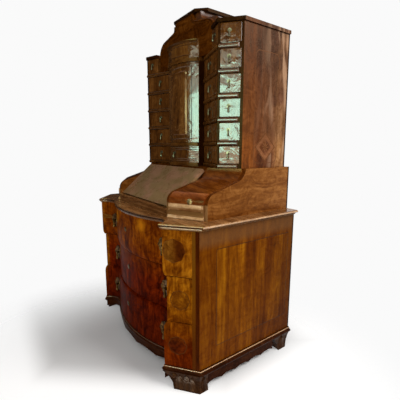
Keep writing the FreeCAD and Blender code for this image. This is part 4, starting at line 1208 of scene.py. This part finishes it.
# Corner blocks of the writing section: a roll across each drawer, fillets at its ends and a ledge at its foot
BLOCK_INNER = Vector((0.345, -0.288, 0.0))
BLOCK_OUTER = Vector((0.520, -0.1947, 0.0))
BLOCK_ALONG = (BLOCK_OUTER - BLOCK_INNER).normalized()
BLOCK_OUT = Vector((BLOCK_ALONG.y, -BLOCK_ALONG.x, 0))
BLOCK_LENGTH = (BLOCK_OUTER - BLOCK_INNER).length
ROLL_HEIGHT = ROLL_HIGH - ROLL_LOW
ROLL_PROUD = 0.009
ROLL_SUNK = 0.0005
ROLL_STEPS = 8
LEDGE_OVER = 0.004
LEDGE = ((-0.001, 0.001), (0.012, 0.001), (0.013, 0.006), (0.009, 0.010), (0.008, 0.016), (-0.001, 0.018))
FILLET = ((-0.001, 0.0), (0.006, 0.0), (0.006, ROLL_HEIGHT), (-0.001, ROLL_HEIGHT))
# Ranges along the block, from its inner end: the roll between the two fillets
FILLET_W = 0.010
FILLET_GAP = 0.001
ROLL_RUN = (FILLET_W, BLOCK_LENGTH - FILLET_W)
FILLET_RUNS = ((FILLET_GAP, FILLET_W), (BLOCK_LENGTH - FILLET_W, BLOCK_LENGTH - FILLET_GAP))
LEDGE_RUN = (-LEDGE_OVER, BLOCK_LENGTH + LEDGE_OVER)


def block_path(run, sign, z):
    # Two stations on the canted line of a corner block.
    out = mirrored(BLOCK_OUT, sign)
    return [(mirrored(BLOCK_INNER + BLOCK_ALONG * reach, sign) + UP * z, out) for reach in run]


def corner_mouldings():
    roll = []
    for step in range(ROLL_STEPS + 1):
        angle = math.pi * step / ROLL_STEPS
        roll.append((ROLL_PROUD * math.sin(angle) - ROLL_SUNK, ROLL_HEIGHT / 2 * (1 - math.cos(angle))))
    for side, sign in SIDES:
        node = "corner_drawer_" + side
        path = block_path(ROLL_RUN, sign, ROLL_LOW)
        swept("corner_roll_" + side, node, path, roll, GOLDEN)
        for index, run in enumerate(FILLET_RUNS):
            path = block_path(run, sign, ROLL_LOW)
            swept("corner_fillet_%s_%d" % (side, index), node, path, FILLET, GOLDEN)
        path = block_path(LEDGE_RUN, sign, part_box("base_top")[1].z)
        swept("corner_ledge_" + side, "carcass", path, LEDGE, GOLDEN)


# Key plates of the corner drawers and of the long drawers
KEY_X = 0.452
KEY_Z = 0.949
LONG_KEY_RISE = 0.020
KEYHOLE_LIFT = 0.0037
KEYHOLE = (
    (0.0022, 0.001),
    (0.0030, 0.0035),
    (0.0, 0.0058),
    (-0.0030, 0.0035),
    (-0.0022, 0.001),
    (-0.0014, -0.006),
    (0.0014, -0.006),
)
KEY_LOBES = (6, 0.10, 0.0085)
KEY_PLATE = (
    (0.0, 0.0150),
    (0.0016, 0.0150),
    (0.0026, 0.0136),
    (0.0020, 0.0114),
    (0.0034, 0.0090),
    (0.0036, 0.0020),
)


def key_plate(name, node, x, z, finish):
    hit, normal = seat(surface(node), Vector((x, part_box(node)[0].y, z)), FRONT)
    lathe("key_plate_" + name, node, hit, normal, KEY_PLATE, finish, KEY_LOBES)
    across, up = frame_of(normal)
    # The keyhole is a dark flat sheet on the plate: painted shade in place of an opening.
    hole = hit + normal * KEYHOLE_LIFT
    places = [hole + across * aside + up * above for aside, above in KEYHOLE]
    piece("keyhole_" + name, node, places, [tuple(range(len(places)))], [DARK_INLAY], smooth=False)


def key_plates():
    for side, sign in SIDES:
        key_plate(side, "corner_drawer_" + side, sign * KEY_X, KEY_Z, PALE_BRASS)
    for row, node in zip(BASE_ROWS, BASE_DRAWERS):
        key_plate(row, node, 0.0, front_middle(node).z + LONG_KEY_RISE, BRASS)


# Carved leaves on the feet
LEAF_ROWS = 12
LEAF_COLUMNS = 9
LEAF_LOBES = 4
LEAF_LOBE_DEPTH = 0.22
# Part of a half wave that a leaf's outline takes, and how full it is
LEAF_START = 0.18
LEAF_SPAN = 0.80
LEAF_FULL = 0.8
LEAF_LIFT = 0.0004
LEAF_SWELL = 0.0030
LEAF_TIP = 0.0050
LEAF_RIB = 0.0016
LEAF_RIBS = 5
VOLUTE_STEPS = 12
VOLUTE_TURNS = 2
VOLUTE_R = 0.014
VOLUTE_WINDING = 0.82
VOLUTE_LIFT = 0.001
VOLUTE_BEAD_R = 0.0032
VOLUTE_AT = 0.052
VOLUTE_Z = 0.072
# Leaves on the canted face of a front foot: distance from the wing's tip, height, width
WING_LEAVES = ((0.0825, 0.072, 0.044), (0.1188, 0.080, 0.036), (0.1485, 0.070, 0.030))
# Leaves on the outer faces of the feet: name, place from front to back, height, width
SIDE_LEAVES = (
    ("foot_side_leaf_", WING_CORNER.y + 0.022, 0.074, 0.036),
    ("back_foot_leaf_", 0.338, 0.076, 0.046),
)
LEAF_FOOT_X = 0.6
LEAF_FOOT_Z = 0.008


def leaf(name, foot, across, out, length, width, finish):
    # Acanthus leaf in relief: a midrib, lobed edges and a tip that stands out.
    tree = surface("feet")
    places = []
    for row in range(LEAF_ROWS):
        share = row / (LEAF_ROWS - 1)
        lobe = 1 + LEAF_LOBE_DEPTH * math.sin(2 * math.pi * LEAF_LOBES * share)
        half = width / 2 * math.sin(math.pi * (LEAF_START + LEAF_SPAN * share)) ** LEAF_FULL * lobe
        for column in range(LEAF_COLUMNS):
            aside = 2 * column / (LEAF_COLUMNS - 1) - 1
            swell = (1 - aside ** 2) * (LEAF_SWELL + LEAF_TIP * share ** 3)
            rib = LEAF_RIB * math.cos(LEAF_RIBS * math.pi * aside) * (1 - abs(aside))
            spot = foot + UP * (length * share) + across * (half * aside)
            places += laid(tree, [spot], out, LEAF_LIFT + swell + rib)
    faces = grid_faces(LEAF_ROWS, LEAF_COLUMNS, False)
    piece(name, "carcass", places, faces, [finish])


def volute(name, centre, across, out):
    # Scroll in relief: a bead that winds in on the face of a foot.
    spots = []
    steps = VOLUTE_STEPS * VOLUTE_TURNS
    for step in range(steps + 1):
        angle = 2 * math.pi * step / VOLUTE_STEPS
        reach = VOLUTE_R * (1 - VOLUTE_WINDING * step / steps)
        spots.append(centre + across * (reach * math.cos(angle)) + UP * (reach * math.sin(angle)))
    points = laid(surface("feet"), spots, out, VOLUTE_LIFT)
    bead(name, "carcass", points, VOLUTE_BEAD_R, CARVED)


def foot_carving():
    for side, sign in SIDES:
        out = mirrored(WING_OUT, sign)
        across = mirrored(WING_ALONG, sign)
        for index, (reach, height, width) in enumerate(WING_LEAVES):
            spot = mirrored(WING_TIP + WING_ALONG * reach, sign) + UP * LEAF_FOOT_Z
            leaf("foot_leaf_%s_%d" % (side, index), spot, across, out, height, width, LEAF)
        spot = mirrored(WING_TIP + WING_ALONG * VOLUTE_AT, sign) + UP * VOLUTE_Z
        volute("foot_scroll_" + side, spot, across, out)
        for name, y, height, width in SIDE_LEAVES:
            spot = Vector((sign * LEAF_FOOT_X, y, LEAF_FOOT_Z))
            leaf(name + side, spot, BACK, RIGHT * sign, height, width, CARVED)


# Studio
FLOOR_RADIUS = 5.0
FLOOR_MIDDLE = (0.35, -0.50, 0.0)
FLOOR_SOLID = 0.50
FLOOR_FADE = 1.55
FLOOR_LIFT = 0.40
FLOOR_CLOUD = (2.0, 3.0)
FLOOR_EDGES = 64
# Where the floor is lit: beyond a slanted line, on the right, in front, and behind on the right
LIT_SLANT = (0.76, -0.65)
LIT_BEYOND = (0.46, 0.68)
LIT_RIGHT = (0.56, 0.72)
LIT_FRONT = (-0.98, -0.80)
LIT_BEHIND = (0.41, 0.66)
LIT_BEHIND_X = (0.0, 0.36)
MATT = {"Roughness": 0.9, "Specular_IOR_Level": 0.0}
BACKDROP = rgb(250, 250, 250)
FILL = (0.45, 0.45, 0.45, 1.0)
DAYLIGHT = (1.0, 0.98, 0.95)
WINDOW_TINT = (0.58, 1.0, 0.76)
WARM_TINT = (1.0, 0.80, 0.46)
UPPER_TINT = (0.90, 1.0, 0.70)
# Lamps: name, place, target, width and height, power, colour, seen by plain surfaces, seen in reflections
LAMPS = (
    ("front", (1.5, -2.5, 2.6), (0.2, 0.0, 1.0), (1.6, 1.2), 33.0, DAYLIGHT, True, False),
    ("window", (1.49, -2.74, 1.66), (0.04, -0.24, 1.5), (2.1, 0.84), 82.0, WINDOW_TINT, False, True),
    ("upper_window", (1.49, -2.74, 2.36), (0.04, -0.24, 1.6), (2.1, 0.50), 8.0, UPPER_TINT, False, True),
    ("lower_window", (1.49, -2.74, 1.02), (0.04, -0.24, 1.3), (2.1, 0.42), 10.0, WARM_TINT, False, True),
    ("key", (2.8, 1.2, 3.0), (0.0, 0.0, 0.8), (1.6, 1.6), 80.0, DAYLIGHT, True, True),
)
# Dark cards: name, line on the floor, lower and upper edge
FLAGS = (
    ("side_flag", ((-2.7, 2.2), (-2.7, -3.0), (-1.2, -4.4), (0.9, -4.6)), 0.0, 4.2),
    ("top_flag", ((0.4, -3.4), (2.7, -2.1)), 2.64, 4.6),
)


def floor():
    # Pale floor that fades into the backdrop, and is as pale as it on the lit side of the object.
    made = Finish("pale_floor")
    spread = made.node("ShaderNodeVectorMath", operation="DISTANCE")
    made.fed(spread, made.place, FLOOR_MIDDLE)
    cloud = made.noise(made.place, *FLOOR_CLOUD)
    made.set(Base_Color=made.ramp(cloud, [(0.0, rgb(236, 236, 236)), (1.0, rgb(242, 242, 242))]), **MATT)
    made.set(Alpha=made.span(spread.outputs["Value"], FLOOR_SOLID, FLOOR_FADE, 1.0, 0.0))
    slanted = made.both(made.axis("X"), LIT_SLANT[0])
    slanted = made.sums("MULTIPLY_ADD", made.axis("Y"), LIT_SLANT[1], slanted)
    lit = made.larger(made.span(slanted, *LIT_BEYOND), made.along("X", *LIT_RIGHT))
    lit = made.larger(lit, made.along("Y", *LIT_FRONT, 1.0, 0.0))
    behind = made.both(made.along("Y", *LIT_BEHIND), made.along("X", *LIT_BEHIND_X))
    lit = made.larger(lit, behind)
    # Painted light: where it is lit, the floor glows for the eye and in reflections.
    lift = made.both(made.both(lit, made.seen()), FLOOR_LIFT)
    made.set(Emission_Color=CLEAR_TINT, Emission_Strength=lift)
    mesh = bmesh.new()
    bmesh.ops.create_circle(mesh, cap_ends=True, segments=FLOOR_EDGES, radius=FLOOR_RADIUS)
    data = bpy.data.meshes.new("floor")
    mesh.to_mesh(data)
    mesh.free()
    data.materials.append(made.material)
    ground = linked("floor", data)


def flags():
    # Dark cards on the left and above the window, out of the picture, which keep the polish deep there.
    made = Finish("dark_flag")
    made.set(Base_Color=rgb(52, 50, 48), **MATT)
    for name, line, low, high in FLAGS:
        mesh = bpy.data.meshes.new(name)
        places = [(x, y, z) for z in (low, high) for x, y in line]
        mesh.from_pydata(places, [], grid_faces(2, len(line), False))
        mesh.materials.append(made.material)
        card = linked(name, mesh)
        card.visible_camera = False


def world():
    # Pale all round for the eye and for reflections, and a softer fill for everything else.
    sky = bpy.data.worlds.new("studio")
    sky.use_nodes = True
    bpy.context.scene.world = sky
    made = Tree(sky.node_tree)
    made.fed(sky.node_tree.nodes["Background"], made.mix(made.seen(), FILL, BACKDROP))


def lamp(name, place, target, size, power, colour, diffuse, glossy):
    data = bpy.data.lights.new(name, "AREA")
    data.shape = "RECTANGLE"
    data.size, data.size_y = size
    data.energy = power
    data.color = colour
    made = linked(name, data)
    made.location = place
    made.rotation_euler = (Vector(target) - Vector(place)).to_track_quat("-Z", "Y").to_euler()
    made.visible_diffuse = diffuse
    made.visible_glossy = glossy


def camera():
    data = bpy.data.cameras.new("camera")
    data.lens = CAMERA_LENS
    data.sensor_width = SENSOR_WIDTH
    made = linked("camera", data)
    made.location = CAMERA_PLACE
    made.rotation_euler = (math.radians(90 - CAMERA_TILT), 0, math.radians(CAMERA_AZIMUTH))
    bpy.context.scene.camera = made


dress_all()
medallions()
side_inlays()
drawer_facings()
small_rosettes()
pull_plates()
tabernacle_mouldings()
pediment_mouldings()
edge_beads()
corner_mouldings()
key_plates()
foot_carving()
floor()
flags()
world()
for row in LAMPS:
    lamp(*row)
camera()
bpy.context.scene.view_settings.view_transform = "Standard"
